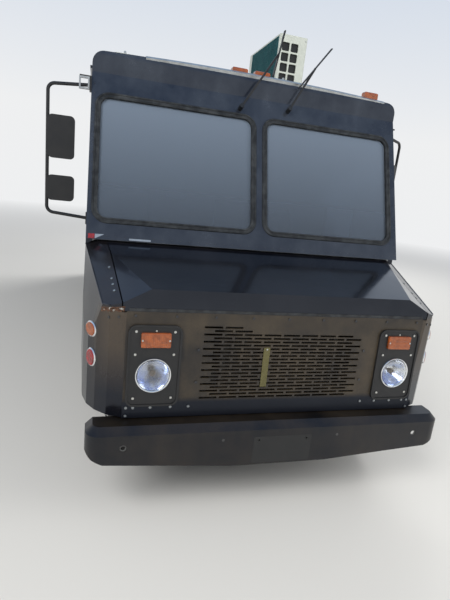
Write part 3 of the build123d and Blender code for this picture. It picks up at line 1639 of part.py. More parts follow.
stud_circle_r = 82.5
stud_count = 8
hand_hole_r = 17
hand_hole_circle_r = 153


def dished_rim(centre_x, axle_y, toward):
    """Pressed steel wheel with hand holes."""
    with BuildPart() as rim:
        with BuildSketch(Plane(origin=(centre_x, axle_y, axle_z), x_dir=(1, 0, 0), z_dir=(0, -1, 0))):
            for outline in rim_profile(toward):
                Polygon(*outline, align=None)
        revolve(axis=Axis((centre_x, axle_y, axle_z), (1, 0, 0)))
        with BuildSketch(Plane.YZ.offset(centre_x + toward * 20)):
            with Locations((axle_y, axle_z)):
                with PolarLocations(hand_hole_circle_r, stud_count):
                    Circle(hand_hole_r)
        extrude(amount=toward * 140, mode=Mode.SUBTRACT)
    return rim.part


def front_rim(side):
    """Front wheel with its hub and brake drum."""
    centre_x = side * front_wheel_x
    plate_x = side * (front_wheel_x + disc_offset)
    pressed = dished_rim(centre_x, front_axle_y, side)
    with BuildPart() as wheel:
        add(pressed)
        with BuildSketch(Plane.YZ.offset(side * (yoke_back_x + 15))):
            with Locations((front_axle_y, axle_z)):
                Circle(hub_r)
        extrude(amount=plate_x - side * (yoke_back_x + 15))
        with BuildSketch(Plane.YZ.offset(side * (yoke_back_x + 15))):
            with Locations((front_axle_y, axle_z)):
                Circle(backing_r)
                Circle(backing_r - 12, mode=Mode.SUBTRACT)
        extrude(amount=side * 80)
        with BuildSketch(Plane.YZ.offset(side * (yoke_back_x + 85))):
            with Locations((front_axle_y, axle_z)):
                Circle(backing_r)
        extrude(amount=side * 10)
        with BuildSketch(Plane.YZ.offset(plate_x)):
            with Locations((front_axle_y, axle_z)):
                Circle(52)
        extrude(amount=side * 45)
        with BuildSketch(Plane.YZ.offset(plate_x)):
            with Locations((front_axle_y, axle_z)):
                with PolarLocations(stud_circle_r, stud_count):
                    RegularPolygon(14, 6)
        extrude(amount=side * 18)
        with BuildSketch(Plane.YZ.offset(side * (yoke_back_x + 5))):
            with Locations((front_axle_y, axle_z)):
                Circle(spindle_r + shaft_gap)
        extrude(amount=side * (spindle_end_x + 5 - yoke_back_x), mode=Mode.SUBTRACT)
    return wheel.part


def rear_rims(side):
    """Twin rear wheels on one hub, discs back to back."""
    outer_x = side * (dual_plane_x + disc_offset)
    inner_x = side * (dual_plane_x - disc_offset)
    hub_inner_x = tube_end_x + 8
    hub_outer_x = rear_spindle_end_x + 5
    outer = dished_rim(outer_x, rear_axle_y, -side)
    inner = dished_rim(inner_x, rear_axle_y, side)
    with BuildPart() as wheels:
        add(outer)
        add(inner)
        with BuildSketch(Plane.YZ.offset(side * hub_inner_x)):
            with Locations((rear_axle_y, axle_z)):
                Circle(hub_r)
        extrude(amount=side * (hub_outer_x + 35 - hub_inner_x))
        with BuildSketch(Plane.YZ.offset(side * hub_inner_x)):
            with Locations((rear_axle_y, axle_z)):
                Circle(backing_r)
                Circle(hub_r - 5, mode=Mode.SUBTRACT)
        extrude(amount=side * 110)
        with BuildSketch(Plane.YZ.offset(side * dual_plane_x)):
            with Locations((rear_axle_y, axle_z)):
                with PolarLocations(stud_circle_r, stud_count):
                    RegularPolygon(14, 6)
        extrude(amount=side * 24)
        with BuildSketch(Plane.YZ.offset(side * (hub_inner_x - 5))):
            with Locations((rear_axle_y, axle_z)):
                Circle(rear_spindle_r + shaft_gap)
        extrude(amount=side * (hub_outer_x + 5 - hub_inner_x), mode=Mode.SUBTRACT)
    return wheels.part


for side, word in ((1, "left"), (-1, "right")):
    finish(knuckle(side), f"knuckle_{word}")
    finish(tyre(side * front_wheel_x, front_axle_y), f"front_tyre_{word}")
    finish(front_rim(side), f"front_rim_{word}")
    rear_pair = [tyre(side * (dual_plane_x + offset), rear_axle_y) for offset in (-disc_offset, disc_offset)]
    finish(Compound(children=rear_pair), f"rear_tyres_{word}")
    finish(rear_rims(side), f"rear_rims_{word}")
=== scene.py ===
"""Dress the walk-in step van food truck: paint, glass, lamps, fasteners, tread, upholstery and studio."""

import logging
import math
import random
from dataclasses import dataclass, field
from enum import Enum
from functools import cache, partial
from typing import Any, Callable, Iterable, Sequence

import bmesh
import bpy
from bpy.types import ID, Material, Mesh, Node, NodeSocket, NodeTree, Object, World
from mathutils import Matrix, Vector


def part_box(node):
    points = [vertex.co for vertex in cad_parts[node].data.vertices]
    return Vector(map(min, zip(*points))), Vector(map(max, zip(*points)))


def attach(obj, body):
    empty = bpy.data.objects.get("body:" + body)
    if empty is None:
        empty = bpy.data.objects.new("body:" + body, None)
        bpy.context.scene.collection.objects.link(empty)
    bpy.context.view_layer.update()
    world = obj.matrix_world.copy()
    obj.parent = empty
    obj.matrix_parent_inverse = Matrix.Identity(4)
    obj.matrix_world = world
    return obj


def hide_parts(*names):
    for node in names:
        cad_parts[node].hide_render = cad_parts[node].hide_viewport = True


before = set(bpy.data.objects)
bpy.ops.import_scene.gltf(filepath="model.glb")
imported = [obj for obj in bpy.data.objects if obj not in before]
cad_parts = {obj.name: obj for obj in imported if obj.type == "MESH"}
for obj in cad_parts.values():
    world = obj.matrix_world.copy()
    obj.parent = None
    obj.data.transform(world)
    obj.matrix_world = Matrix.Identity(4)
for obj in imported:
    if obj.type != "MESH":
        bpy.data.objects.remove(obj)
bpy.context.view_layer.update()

log = logging.getLogger("food_truck")
MM = 0.001
TRUCK = "truck_body"
FACE_Y = -3.225
# Corners of the nose in plan, from the face plate to the body side, as half width and Y
NOSE_CORNER = ((0.917, FACE_Y), (1.000, FACE_Y + 0.038), (1.062, FACE_Y + 0.100), (1.105, FACE_Y + 0.175))
Pair = tuple[float, float]
Triple = tuple[float, float, float]
# What adds a node to one tree
Adder = Callable[..., Node]
# Points on a surface, each with the direction out of it
Spots = list[tuple[Vector, Vector]]


def linear(code: str) -> tuple[float, float, float, float]:
    """Turn an sRGB hex value into a linear colour.

    Args:
        code: Six hex digits after a hash.

    Returns:
        Red, green and blue in linear light, and full alpha.
    """
    channels = [int(code[start:start + 2], 16) / 255 for start in (1, 3, 5)]
    light = [c / 12.92 if c <= 0.04045 else ((c + 0.055) / 1.055) ** 2.4 for c in channels]
    return (light[0], light[1], light[2], 1.0)


def per_metre(size_mm: float) -> float:
    """Texture scale whose features repeat at about a size in millimetres."""
    return 1000.0 / size_mm


def add_node(tree: NodeTree, kind: str, inputs: dict[Any, Any] | None = None, **settings: Any) -> Node:
    """Add one node with its settings, values and links.

    Args:
        tree: Tree that gets the node.
        kind: Node type name, which for a shader node leaves out its first word, ShaderNode.
        inputs: Values, output sockets or nodes by input name or number; a node gives its first output.
        **settings: Properties set on the node first.

    Returns:
        The new node.
    """
    node = tree.nodes.new(kind if "Node" in kind else f"ShaderNode{kind}")
    for key, value in settings.items():
        setattr(node, key, value)
    for key, value in (inputs or {}).items():
        if isinstance(value, Node):
            value = value.outputs[0]
        if isinstance(value, NodeSocket):
            tree.links.new(value, node.inputs[key])
        else:
            node.inputs[key].default_value = value
    return node


def fresh(owner: Material | World) -> Adder:
    """Empty the node tree of a material or a world.

    Args:
        owner: What the tree belongs to.

    Returns:
        What adds a node to the empty tree.
    """
    owner.use_nodes = True
    owner.node_tree.nodes.clear()
    return partial(add_node, owner.node_tree)


def looked_at(add: Adder) -> Node:
    """Tell rays that look, straight, mirrored or through glass, from those that only carry light.

    Args:
        add: Adds a node to the tree.

    Returns:
        Node that gives 1 for a ray that looks.
    """
    rays = add("LightPath").outputs
    direct = {0: rays["Is Camera Ray"], 1: rays["Is Transmission Ray"]}
    seen = add("Math", direct, operation="MAXIMUM")
    return add("Math", {0: seen, 1: rays["Is Glossy Ray"]}, operation="MAXIMUM")


@dataclass(frozen=True)
class Finish:
    """A surface finish whose shader is built once, on Object coordinates."""

    name: str

    def build(self, add: Adder, place: NodeSocket) -> Node:
        """Make the finish's shader node; each kind of finish has its own."""
        raise NotImplementedError

    def material(self) -> Material:
        """Return the Blender material, made on first use.

        Returns:
            The material with this finish's name.
        """
        label = f"{self.name}_finish"
        found = bpy.data.materials.get(label)
        if found:
            return found
        material = bpy.data.materials.new(label)
        add = fresh(material)
        place = add("TexCoord").outputs["Object"]
        add("OutputMaterial", {"Surface": self.build(add, place)})
        material.diffuse_color = (0.5, 0.5, 0.5, 1.0)
        return material


@dataclass(frozen=True)
class Enamel(Finish):
    """Sprayed vehicle enamel: glossy, a little wavy over thin sheet, with road dust in drifts and streaks,
    and reflections tinted pale blue as painted sky reflection.
    """

    colour: str
    # Dust colour; on the face plate, nose, cap and bumper it is partly painted reflection of sunlit ground
    # and sky
    dust_and_sheen: str = "#6b6257"
    cover: float = 0.25
    gloss: float = 0.14
    fade_height: float = 0.9
    fade: float = 0.3
    wave: float = 0.0012
    coat: float = 0.6
    streaked: float = 0.22
    # Strength of a brown patch at the nose's front corners: partly dust, partly painted reflection of sunlit
    # ground
    corner_dust_and_reflection: float = 0.0
    # Colour and top height of a dark band along the foot: painted shade
    foot: str = ""
    painted_shade_top_z: float = 0.69

    def build(self, add: Adder, place: NodeSocket) -> Node:
        """Mix the paint with dust low down, in drifts and in rain streaks; on some panels the dust colour is
        partly painted reflection.

        Args:
            add: Adds a node to the material.
            place: Object coordinates.

        Returns:
            The surface's shader node.
        """
        drift = add("TexNoise", {"Vector": place, "Scale": per_metre(420), "Detail": 5.0, "Roughness": 0.62})
        stretch = add("Mapping", {"Vector": place, "Scale": (1.0, 1.0, 0.16)})
        streak = add("TexNoise", {"Vector": stretch, "Scale": per_metre(75), "Detail": 3.0})
        grit = add("TexNoise", {"Vector": place, "Scale": per_metre(5), "Detail": 2.0})
        height = add("SeparateXYZ", {0: place})
        low = add("MapRange", {
            "Value": height.outputs["Z"], "From Min": self.fade_height, "From Max": 0.35, "To Max": self.fade,
        })
        drifted = add("MapRange", {"Value": drift, "From Min": 0.35, "From Max": 0.72, "To Max": self.cover})
        streaked = add("MapRange", {
            "Value": streak, "From Min": 0.5, "From Max": 0.75, "To Max": self.cover * self.streaked,
        })
        both = add("Math", {0: drifted, 1: streaked}, operation="ADD")
        total = add("Math", {0: both, 1: low}, operation="ADD")
        # Corner patch: partly dust and partly painted reflection of sunlit ground, ending under the hood's
        # lip
        if self.corner_dust_and_reflection:
            ahead = add("MapRange", {
                "Value": height.outputs["Y"], "From Min": NOSE_CORNER[3][1], "From Max": NOSE_CORNER[1][1],
                "To Max": self.corner_dust_and_reflection,
            })
            upper = add("MapRange", {"Value": height.outputs["Z"], "From Min": 0.72, "From Max": 1.0})
            under = add("MapRange", {
                "Value": height.outputs["Z"], "From Min": 1.19, "From Max": 1.215, "To Min": 1.0,
                "To Max": 0.0,
            })
            patch = add("Math", {0: ahead, 1: upper}, operation="MULTIPLY")
            bloom = add("Math", {0: patch, 1: under}, operation="MULTIPLY")
            total = add("Math", {0: total, 1: bloom}, operation="ADD")
        grain = add("MapRange", {
            "Value": grit, "From Min": 0.3, "From Max": 0.7, "To Min": 0.7, "To Max": 1.15,
        })
        dust_and_sheen_share = add("Math", {0: total, 1: grain}, operation="MULTIPLY", use_clamp=True)
        colour = add("Mix", {"Factor": dust_and_sheen_share, 6: linear(self.colour), 7: linear(self.dust_and_sheen)}, data_type="RGBA")
        # Dark band along the foot: painted shade
        if self.foot:
            painted_shade_share = add("MapRange", {
                "Value": height.outputs["Z"], "From Min": self.painted_shade_top_z + 0.02, "From Max": self.painted_shade_top_z - 0.01,
            })
            colour = add("Mix", {
                "Factor": painted_shade_share, 6: colour.outputs[2], 7: linear(self.foot),
            }, data_type="RGBA")
        rough = add("MapRange", {"Value": dust_and_sheen_share, "To Min": self.gloss, "To Max": 0.75})
        sheet = add("TexNoise", {"Vector": place, "Scale": per_metre(260), "Detail": 1.0})
        waves = add("Bump", {"Height": sheet, "Strength": 0.6, "Distance": self.wave * 4})
        peel = add("TexNoise", {"Vector": place, "Scale": per_metre(7), "Detail": 2.0})
        skin = add("Bump", {"Height": peel, "Normal": waves, "Strength": 0.12, "Distance": 0.0006})
        # The pale blue specular tint is painted sky reflection
        return add("BsdfPrincipled", {
            "Base Color": colour.outputs[2], "Roughness": rough, "Normal": skin, "Coat Weight": self.coat,
            "Coat Roughness": 0.06, "IOR": 1.5, "Specular Tint": linear("#cfdcf2"),
        })


@dataclass(frozen=True)
class Metal(Finish):
    """Bare or plated metal: brushed, cast, galvanised or bright, with tarnish in patches."""

    colour: str
    tarnish: str
    roughness: float = 0.3
    patch_mm: float = 60
    brushed: Triple = (1.0, 1.0, 1.0)
    grain_mm: float = 4
    depth: float = 0.0002
    metallic: float = 1.0
    amount: float = 0.5

    def build(self, add: Adder, place: NodeSocket) -> Node:
        """Vary the tone in patches and the gloss along the grain.

        Args:
            add: Adds a node to the material.
            place: Object coordinates.

        Returns:
            The surface's shader node.
        """
        patches = add("TexNoise", {
            "Vector": place, "Scale": per_metre(self.patch_mm), "Detail": 5.0, "Roughness": 0.65,
        })
        turned = add("Mapping", {"Vector": place, "Scale": self.brushed})
        grain = add("TexNoise", {"Vector": turned, "Scale": per_metre(self.grain_mm), "Detail": 3.0})
        spread = add("MapRange", {"Value": patches, "From Min": 0.38, "From Max": 0.7, "To Max": self.amount})
        colour = add("Mix", {
            "Factor": spread, 6: linear(self.colour), 7: linear(self.tarnish),
        }, data_type="RGBA")
        rough = add("MapRange", {
            "Value": grain, "From Min": 0.3, "From Max": 0.7, "To Min": self.roughness * 0.75,
            "To Max": min(1.0, self.roughness * 1.35),
        })
        bump = add("Bump", {"Height": grain, "Strength": 0.35, "Distance": self.depth})
        return add("BsdfPrincipled", {
            "Base Color": colour.outputs[2], "Roughness": rough, "Metallic": self.metallic, "Normal": bump,
        })


@dataclass(frozen=True)
class Moulded(Finish):
    """Moulded rubber, plastic, vinyl or powder coat: fine grain, with scuffs and dust."""

    colour: str
    scuff: str
    roughness: float = 0.55
    grain_mm: float = 2.5
    depth: float = 0.0003
    scuffed: float = 0.35
    patch_mm: float = 90
    coat: float = 0.0

    def build(self, add: Adder, place: NodeSocket) -> Node:
        """Mix in scuffs by patches and press the grain in as bump.

        Args:
            add: Adds a node to the material.
            place: Object coordinates.

        Returns:
            The surface's shader node.
        """
        patches = add("TexNoise", {
            "Vector": place, "Scale": per_metre(self.patch_mm), "Detail": 6.0, "Roughness": 0.7,
        })
        amount = add("MapRange", {
            "Value": patches, "From Min": 0.4, "From Max": 0.75, "To Max": self.scuffed,
        })
        colour = add("Mix", {
            "Factor": amount, 6: linear(self.colour), 7: linear(self.scuff),
        }, data_type="RGBA")
        rough = add("MapRange", {
            "Value": patches, "From Min": 0.3, "From Max": 0.7, "To Min": self.roughness * 0.85,
            "To Max": min(1.0, self.roughness * 1.25),
        })
        pits = add("TexVoronoi", {"Vector": place, "Scale": per_metre(self.grain_mm)})
        bump = add("Bump", {"Height": pits.outputs["Distance"], "Strength": 0.4, "Distance": self.depth})
        return add("BsdfPrincipled", {
            "Base Color": colour.outputs[2], "Roughness": rough, "Normal": bump, "Coat Weight": self.coat,
            "Coat Roughness": 0.1,
        })


@dataclass(frozen=True)
class TreadPlate(Finish):
    """Rolled aluminium floor plate with raised bars that alternate in direction."""

    colour: str
    bar_mm: float = 30

    def build(self, add: Adder, place: NodeSocket) -> Node:
        """Raise small bars with two crossed wave textures and soil the plate in patches.

        Args:
            add: Adds a node to the material.
            place: Object coordinates.

        Returns:
            The surface's shader node.
        """
        first = add("TexWave", {
            "Vector": place, "Scale": per_metre(self.bar_mm * 5),
        }, bands_direction="DIAGONAL")
        flipped = add("Mapping", {"Vector": place, "Scale": (-1.0, 1.0, 1.0)})
        second = add("TexWave", {
            "Vector": flipped, "Scale": per_metre(self.bar_mm * 5),
        }, bands_direction="DIAGONAL")
        bars = add("Math", {0: first.outputs["Fac"], 1: second.outputs["Fac"]}, operation="MULTIPLY")
        raised = add("MapRange", {"Value": bars, "From Min": 0.35, "From Max": 0.75})
        dirt = add("TexNoise", {"Vector": place, "Scale": per_metre(160), "Detail": 5.0})
        soiled = add("MapRange", {"Value": dirt, "From Min": 0.4, "From Max": 0.7, "To Max": 0.6})
        colour = add("Mix", {
            "Factor": soiled, 6: linear(self.colour), 7: linear("#4a4640"),
        }, data_type="RGBA")
        rough = add("MapRange", {"Value": dirt, "To Min": 0.28, "To Max": 0.7})
        bump = add("Bump", {"Height": raised, "Strength": 0.7, "Distance": 0.0015})
        return add("BsdfPrincipled", {
            "Base Color": colour.outputs[2], "Roughness": rough, "Metallic": 0.9, "Normal": bump,
        })


@dataclass(frozen=True)
class Lens(Finish):
    """Moulded lamp lens: coloured polycarbonate with ribs that spread the light."""

    colour: str
    deep: str
    rib_mm: float = 6
    clear: float = 0.25
    roughness: float = 0.16
    depth: float = 0.0008

    def build(self, add: Adder, place: NodeSocket) -> Node:
        """Rib the lens upright and let its colour pool unevenly.

        Args:
            add: Adds a node to the material.
            place: Object coordinates.

        Returns:
            The surface's shader node.
        """
        ribs = add("TexWave", {"Vector": place, "Scale": per_metre(self.rib_mm * 6.28)}, bands_direction="X")
        crossed = add("TexWave", {
            "Vector": place, "Scale": per_metre(self.rib_mm * 12.6),
        }, bands_direction="Z")
        pool = add("TexNoise", {"Vector": place, "Scale": per_metre(30), "Detail": 3.0})
        shade = add("MapRange", {"Value": pool, "From Min": 0.35, "From Max": 0.7})
        colour = add("Mix", {"Factor": shade, 6: linear(self.colour), 7: linear(self.deep)}, data_type="RGBA")
        height = add("Math", {0: ribs.outputs["Fac"], 1: crossed.outputs["Fac"]}, operation="ADD")
        bump = add("Bump", {"Height": height, "Strength": 0.5, "Distance": self.depth})
        return add("BsdfPrincipled", {
            "Base Color": colour.outputs[2], "Roughness": self.roughness, "IOR": 1.58,
            "Transmission Weight": self.clear, "Normal": bump, "Coat Weight": 0.4, "Coat Roughness": 0.05,
        })


@dataclass(frozen=True)
class Bowl(Finish):
    """Aluminised lamp bowl with painted reflections: bright cream plating, a painted blue reflection on its
    lower half and dark patches above, and dim flutes.
    """

    # Colours of painted reflections: cream plating, a blue lower half and dark patches on the upper half
    bright: str
    bloom: str
    shade: str = "#6d6358"
    middle_z: float = 0.845
    reach: float = 0.045

    def build(self, add: Adder, place: NodeSocket) -> Node:
        """Paint reflections on the plating: blue on the lower half, dark patches on the upper half.

        Args:
            add: Adds a node to the material.
            place: Object coordinates.

        Returns:
            The surface's shader node.
        """
        height = add("SeparateXYZ", {0: place})
        # Painted reflection: blue on the lower half of the bowl
        below = add("MapRange", {
            "Value": height.outputs["Z"], "From Min": self.middle_z + 0.012,
            "From Max": self.middle_z - self.reach, "To Max": 0.85,
        })
        cloud = add("TexNoise", {"Vector": place, "Scale": per_metre(24), "Detail": 3.0})
        uneven = add("MapRange", {"Value": cloud, "From Min": 0.35, "From Max": 0.65, "To Min": 0.55})
        share = add("Math", {0: below, 1: uneven}, operation="MULTIPLY")
        half = add("Mix", {"Factor": share, 6: linear(self.bright), 7: linear(self.bloom)}, data_type="RGBA")
        # Painted reflection: dark patches on the upper half
        image = add("TexNoise", {"Vector": place, "Scale": per_metre(42), "Detail": 2.0})
        above = add("Math", {0: 1.0, 1: below}, operation="SUBTRACT")
        patch = add("MapRange", {"Value": image, "From Min": 0.53, "From Max": 0.64, "To Max": 0.6})
        shaded = add("Math", {0: above, 1: patch}, operation="MULTIPLY")
        colour = add("Mix", {"Factor": shaded, 6: half.outputs[2], 7: linear(self.shade)}, data_type="RGBA")
        flutes = add("TexWave", {"Vector": place, "Scale": per_metre(80)}, bands_direction="X")
        bump = add("Bump", {"Height": flutes.outputs["Fac"], "Strength": 0.3, "Distance": 0.0006})
        return add("BsdfPrincipled", {
            "Base Color": colour.outputs[2], "Roughness": 0.22, "Metallic": 0.85, "Normal": bump,
        })


@dataclass(frozen=True)
class Pane(Finish):
    """Laminated window glass: tinted, with a pale haze that thickens towards its top edge, partly dust and
    partly painted sky sheen.
    """

    colour: str
    haze: str = "#8a8f92"
    hazed: float = 0.12
    sill_haze_share: float = 0.7
    sill_z: float = 1.5
    head_z: float = 2.3

    def build(self, add: Adder, place: NodeSocket) -> Node:
        """Lay a pale film over tinted glass, partly dust and partly painted sky sheen, thinner at the sill
        than at the head.

        Args:
            add: Adds a node to the material.
            place: Object coordinates.

        Returns:
            The surface's shader node.
        """
        axes = add("SeparateXYZ", {"Vector": place})
        # Pale film, partly dust and partly painted sky sheen, thickening from sill to head
        amount = add("MapRange", {
            "Value": axes.outputs[2], "From Min": self.sill_z, "From Max": self.head_z,
            "To Min": self.hazed * self.sill_haze_share, "To Max": self.hazed,
        })
        glass = add("BsdfPrincipled", {
            "Base Color": linear(self.colour), "Roughness": 0.02, "IOR": 1.52, "Transmission Weight": 1.0,
        })
        dust_and_sheen = add("BsdfPrincipled", {"Base Color": linear(self.haze), "Roughness": 0.9})
        return add("MixShader", {0: amount, 1: glass, 2: dust_and_sheen})


@dataclass(frozen=True)
class Rusted(Finish):
    """Underbody paint over steel: dull black, with rust and road grime in patches."""

    colour: str
    rust: str = "#5a3320"
    rusted: float = 0.6
    patch_mm: float = 110

    def build(self, add: Adder, place: NodeSocket) -> Node:
        """Break the paint with rust and scale.

        Args:
            add: Adds a node to the material.
            place: Object coordinates.

        Returns:
            The surface's shader node.
        """
        patches = add("TexNoise", {
            "Vector": place, "Scale": per_metre(self.patch_mm), "Detail": 8.0, "Roughness": 0.72,
        })
        eaten = add("MapRange", {"Value": patches, "From Min": 0.48, "From Max": 0.66, "To Max": self.rusted})
        colour = add("Mix", {"Factor": eaten, 6: linear(self.colour), 7: linear(self.rust)}, data_type="RGBA")
        scale = add("TexNoise", {"Vector": place, "Scale": per_metre(9), "Detail": 4.0})
        bump = add("Bump", {"Height": scale, "Strength": 0.4, "Distance": 0.0008})
        rough = add("MapRange", {"Value": eaten, "To Min": 0.5, "To Max": 0.92})
        return add("BsdfPrincipled", {"Base Color": colour.outputs[2], "Roughness": rough, "Normal": bump})


# Sprayed acrylic enamel over aluminium sheet: deep blue-black that mirrors its surroundings softly; its blue
# cast is painted sky reflection
BLACK_ENAMEL = Enamel("black_enamel", "#090b12", dust_and_sheen="#45454a", cover=0.11, gloss=0.13, coat=0.3, fade=0.2)
# The same enamel, sun-faded and dusty on the face plate: a brown-grey bloom over black that is partly painted
# reflection of sunlit ground, and a dark painted shade band along its foot
FADED_ENAMEL = Enamel(
    "faded_enamel", "#1d1913", dust_and_sheen="#685a44", cover=0.5, gloss=0.36, fade=0.0, coat=0.05, streaked=0.12,
    foot="#0a0a0f",
)
# The same enamel on the nose, with a brown patch on its front corners that is partly packed dust and partly
# painted reflection of sunlit ground
NOSE_ENAMEL = Enamel(
    "nose_enamel", BLACK_ENAMEL.colour, dust_and_sheen="#5f5240", cover=0.10, gloss=0.15, corner_dust_and_reflection=0.5, fade=0.0,
    coat=0.0,
)
# The same enamel on the cap, chalked by the sun and partly painted sky sheen: a lighter bluish base and a
# grey film that lift the black
CAP_ENAMEL = Enamel("cap_enamel", "#171b24", dust_and_sheen="#6d747c", cover=0.2, gloss=0.18, coat=0.3, fade=0.0)
# Bumper paint, hit by road dust and shoe soles: duller and browner than the body, the brown partly painted
# reflection of sunlit ground
BUMPER_ENAMEL = Enamel(
    "bumper_enamel", "#0b0907", dust_and_sheen="#4a3f30", cover=0.34, gloss=0.34, fade=0.03, fade_height=0.5, coat=0.05,
)
# Roof coating brushed over the sheet: chalky white with grime
ROOF_COATING = Moulded(
    "roof_coating", "#bfc2c2", "#8c8d88", roughness=0.7, grain_mm=6, scuffed=0.6, patch_mm=300,
)
# Satin powder coat on lamp plates: even dark grey-black with fine grit
SATIN_POWDER = Moulded(
    "satin_powder_coat", "#151618", "#3d3a37", roughness=0.42, grain_mm=3, depth=0.0001, scuffed=0.3,
)
# Underbody paint on hot-rolled steel
CHASSIS_PAINT = Rusted("chassis_paint", "#191817")
# Cast iron with baked grease
CAST_IRON = Rusted("cast_iron", "#3a3733", rust="#5d4430", rusted=0.4)
# Vulcanised tyre tread rubber: dull black with pale road dust
TYRE_RUBBER = Moulded("tyre_rubber", "#1b1b1c", "#4d4a46", roughness=0.8, grain_mm=5, scuffed=0.45)
# Steel wheel enamel, silver, with brake dust
WHEEL_ENAMEL = Enamel("wheel_enamel", "#b4b6b8", dust_and_sheen="#6a6259", cover=0.5, gloss=0.35, fade=0.1, coat=0.2)
# Laminated windshield glass: smoke tint under a pale film, partly dust and partly painted sky sheen, that
# thickens upwards
WINDSHIELD_GLASS = Pane(
    "windshield_glass", "#4d5a6c", haze="#8e9cad", hazed=0.46, sill_haze_share=0.36, sill_z=1.6, head_z=2.3,
)
# Privacy-tinted door glass
DOOR_GLASS = Pane("door_glass", "#3c4246", hazed=0.07)
# Chrome plate on the lamp rings: bright, with pits of grime
CHROME = Metal(
    "chrome_plate", "#e8eaec", "#8d8f90", roughness=0.08, patch_mm=18, grain_mm=2, depth=0.00005, amount=0.25,
)
# Aluminised reflector bowl, with painted reflections: cream above, blue below and dark patches
REFLECTOR = Bowl("reflector", "#fffcf2", "#6690e6")
# Pressed lamp glass with prisms
LAMP_GLASS = Lens("lamp_glass", "#ffffff", "#f4f9fc", rib_mm=9, clear=1.0, roughness=0.02, depth=0.00025)
# Burnt steel cap over the bulb: dull brown
BULB_CAP = Metal("bulb_cap", "#5b4c3f", "#2f2823", roughness=0.45, patch_mm=12)
# Amber polycarbonate, a little sun-bleached
AMBER_LENS = Lens("amber_lens", "#a0501c", "#7a3a12", rib_mm=5, clear=0.1)
# Red polycarbonate
RED_LENS = Lens("red_lens", "#98121a", "#6a0a10", rib_mm=5, clear=0.1)
# Brushed stainless worktops, grain along the truck
STAINLESS = Metal(
    "brushed_stainless", "#bfc2c4", "#8f9294", roughness=0.32, brushed=(1.0, 0.03, 1.0), grain_mm=2,
)
# Rolled tread plate
TREAD_PLATE = TreadPlate("tread_plate", "#a5a7a8")
# Grained ABS dashboard and engine cover
DASH_ABS = Moulded("dash_abs", "#2a2b2d", "#4e4c49", roughness=0.62, grain_mm=2, scuffed=0.25)
# Seat vinyl: pebbled and slightly shiny where it is sat on
SEAT_VINYL = Moulded(
    "seat_vinyl", "#1c1d1f", "#35363a", roughness=0.48, grain_mm=3, depth=0.0004, scuffed=0.4,
)
# Baked off-white casing of the condenser
CASING_WHITE = Moulded(
    "casing_white", "#c3c7bd", "#989a8f", roughness=0.45, grain_mm=3, depth=0.0001, scuffed=0.35, coat=0.2,
)
# Blue-green epoxy on aluminium fins
FIN_COATING = Metal(
    "fin_coating", "#2f6468", "#1d4248", roughness=0.45, metallic=0.45, patch_mm=80, grain_mm=3,
)
# Glass-filled polypropylene fan, knobs and steering wheel
BLACK_POLYPROPYLENE = Moulded(
    "black_polypropylene", "#18191a", "#3b3a38", roughness=0.5, grain_mm=2, scuffed=0.3,
)
# Hot-dip galvanised sheet: pale grey spangle
GALVANISED = Metal(
    "galvanised_sheet", "#a9adaf", "#7c8082", roughness=0.45, patch_mm=30, grain_mm=20, depth=0.0001,
    amount=0.5,
)
# Extruded EPDM glazing rubber, greyed in patches
GLAZING_RUBBER = Moulded(
    "glazing_rubber", "#141516", "#55585a", roughness=0.6, grain_mm=3, depth=0.0001, scuffed=0.55,
    patch_mm=50,
)
# Moulded grommets, bleached grey
GREY_RUBBER = Moulded("grey_rubber", "#4a4a49", "#6a6865", roughness=0.75, grain_mm=2)
# Zinc-plated screws
ZINC = Metal("zinc_plate", "#d2d3cf", "#8b877c", roughness=0.3, patch_mm=8, grain_mm=2)
# Painted-over rivets and bolts on the body
PAINTED_FASTENER = Enamel("painted_fastener", "#101216", dust_and_sheen="#5a554e", cover=0.4, gloss=0.25)
# Mill-finish aluminium trim, dulled and scratched
ALUMINIUM_TRIM = Metal(
    "aluminium_trim", "#c4c7c8", "#8d8f8e", roughness=0.4, brushed=(0.05, 0.05, 1.0), grain_mm=3,
)
# Olive primer that shows on the grille's prop
OLIVE_PRIMER = Moulded("olive_primer", "#55502e", "#6d6744", roughness=0.6, grain_mm=3, scuffed=0.5)
# Mirror glass
MIRROR_GLASS = Metal(
    "mirror_silver", "#dfe3e6", "#c4c8ca", roughness=0.03, patch_mm=200, grain_mm=50, depth=0.00002,
    amount=0.2,
)
# Flaking rust where the fender lip traps water
RUST = Rusted("surface_rust", "#4a3123", rust="#8a6348", rusted=0.9, patch_mm=14)


class Head(Enum):
    """Kinds of fastener head, as the number of sides round the axis and whether it is domed."""

    RIVET = (10, True)
    SCREW = (12, False)
    HEX = (6, False)


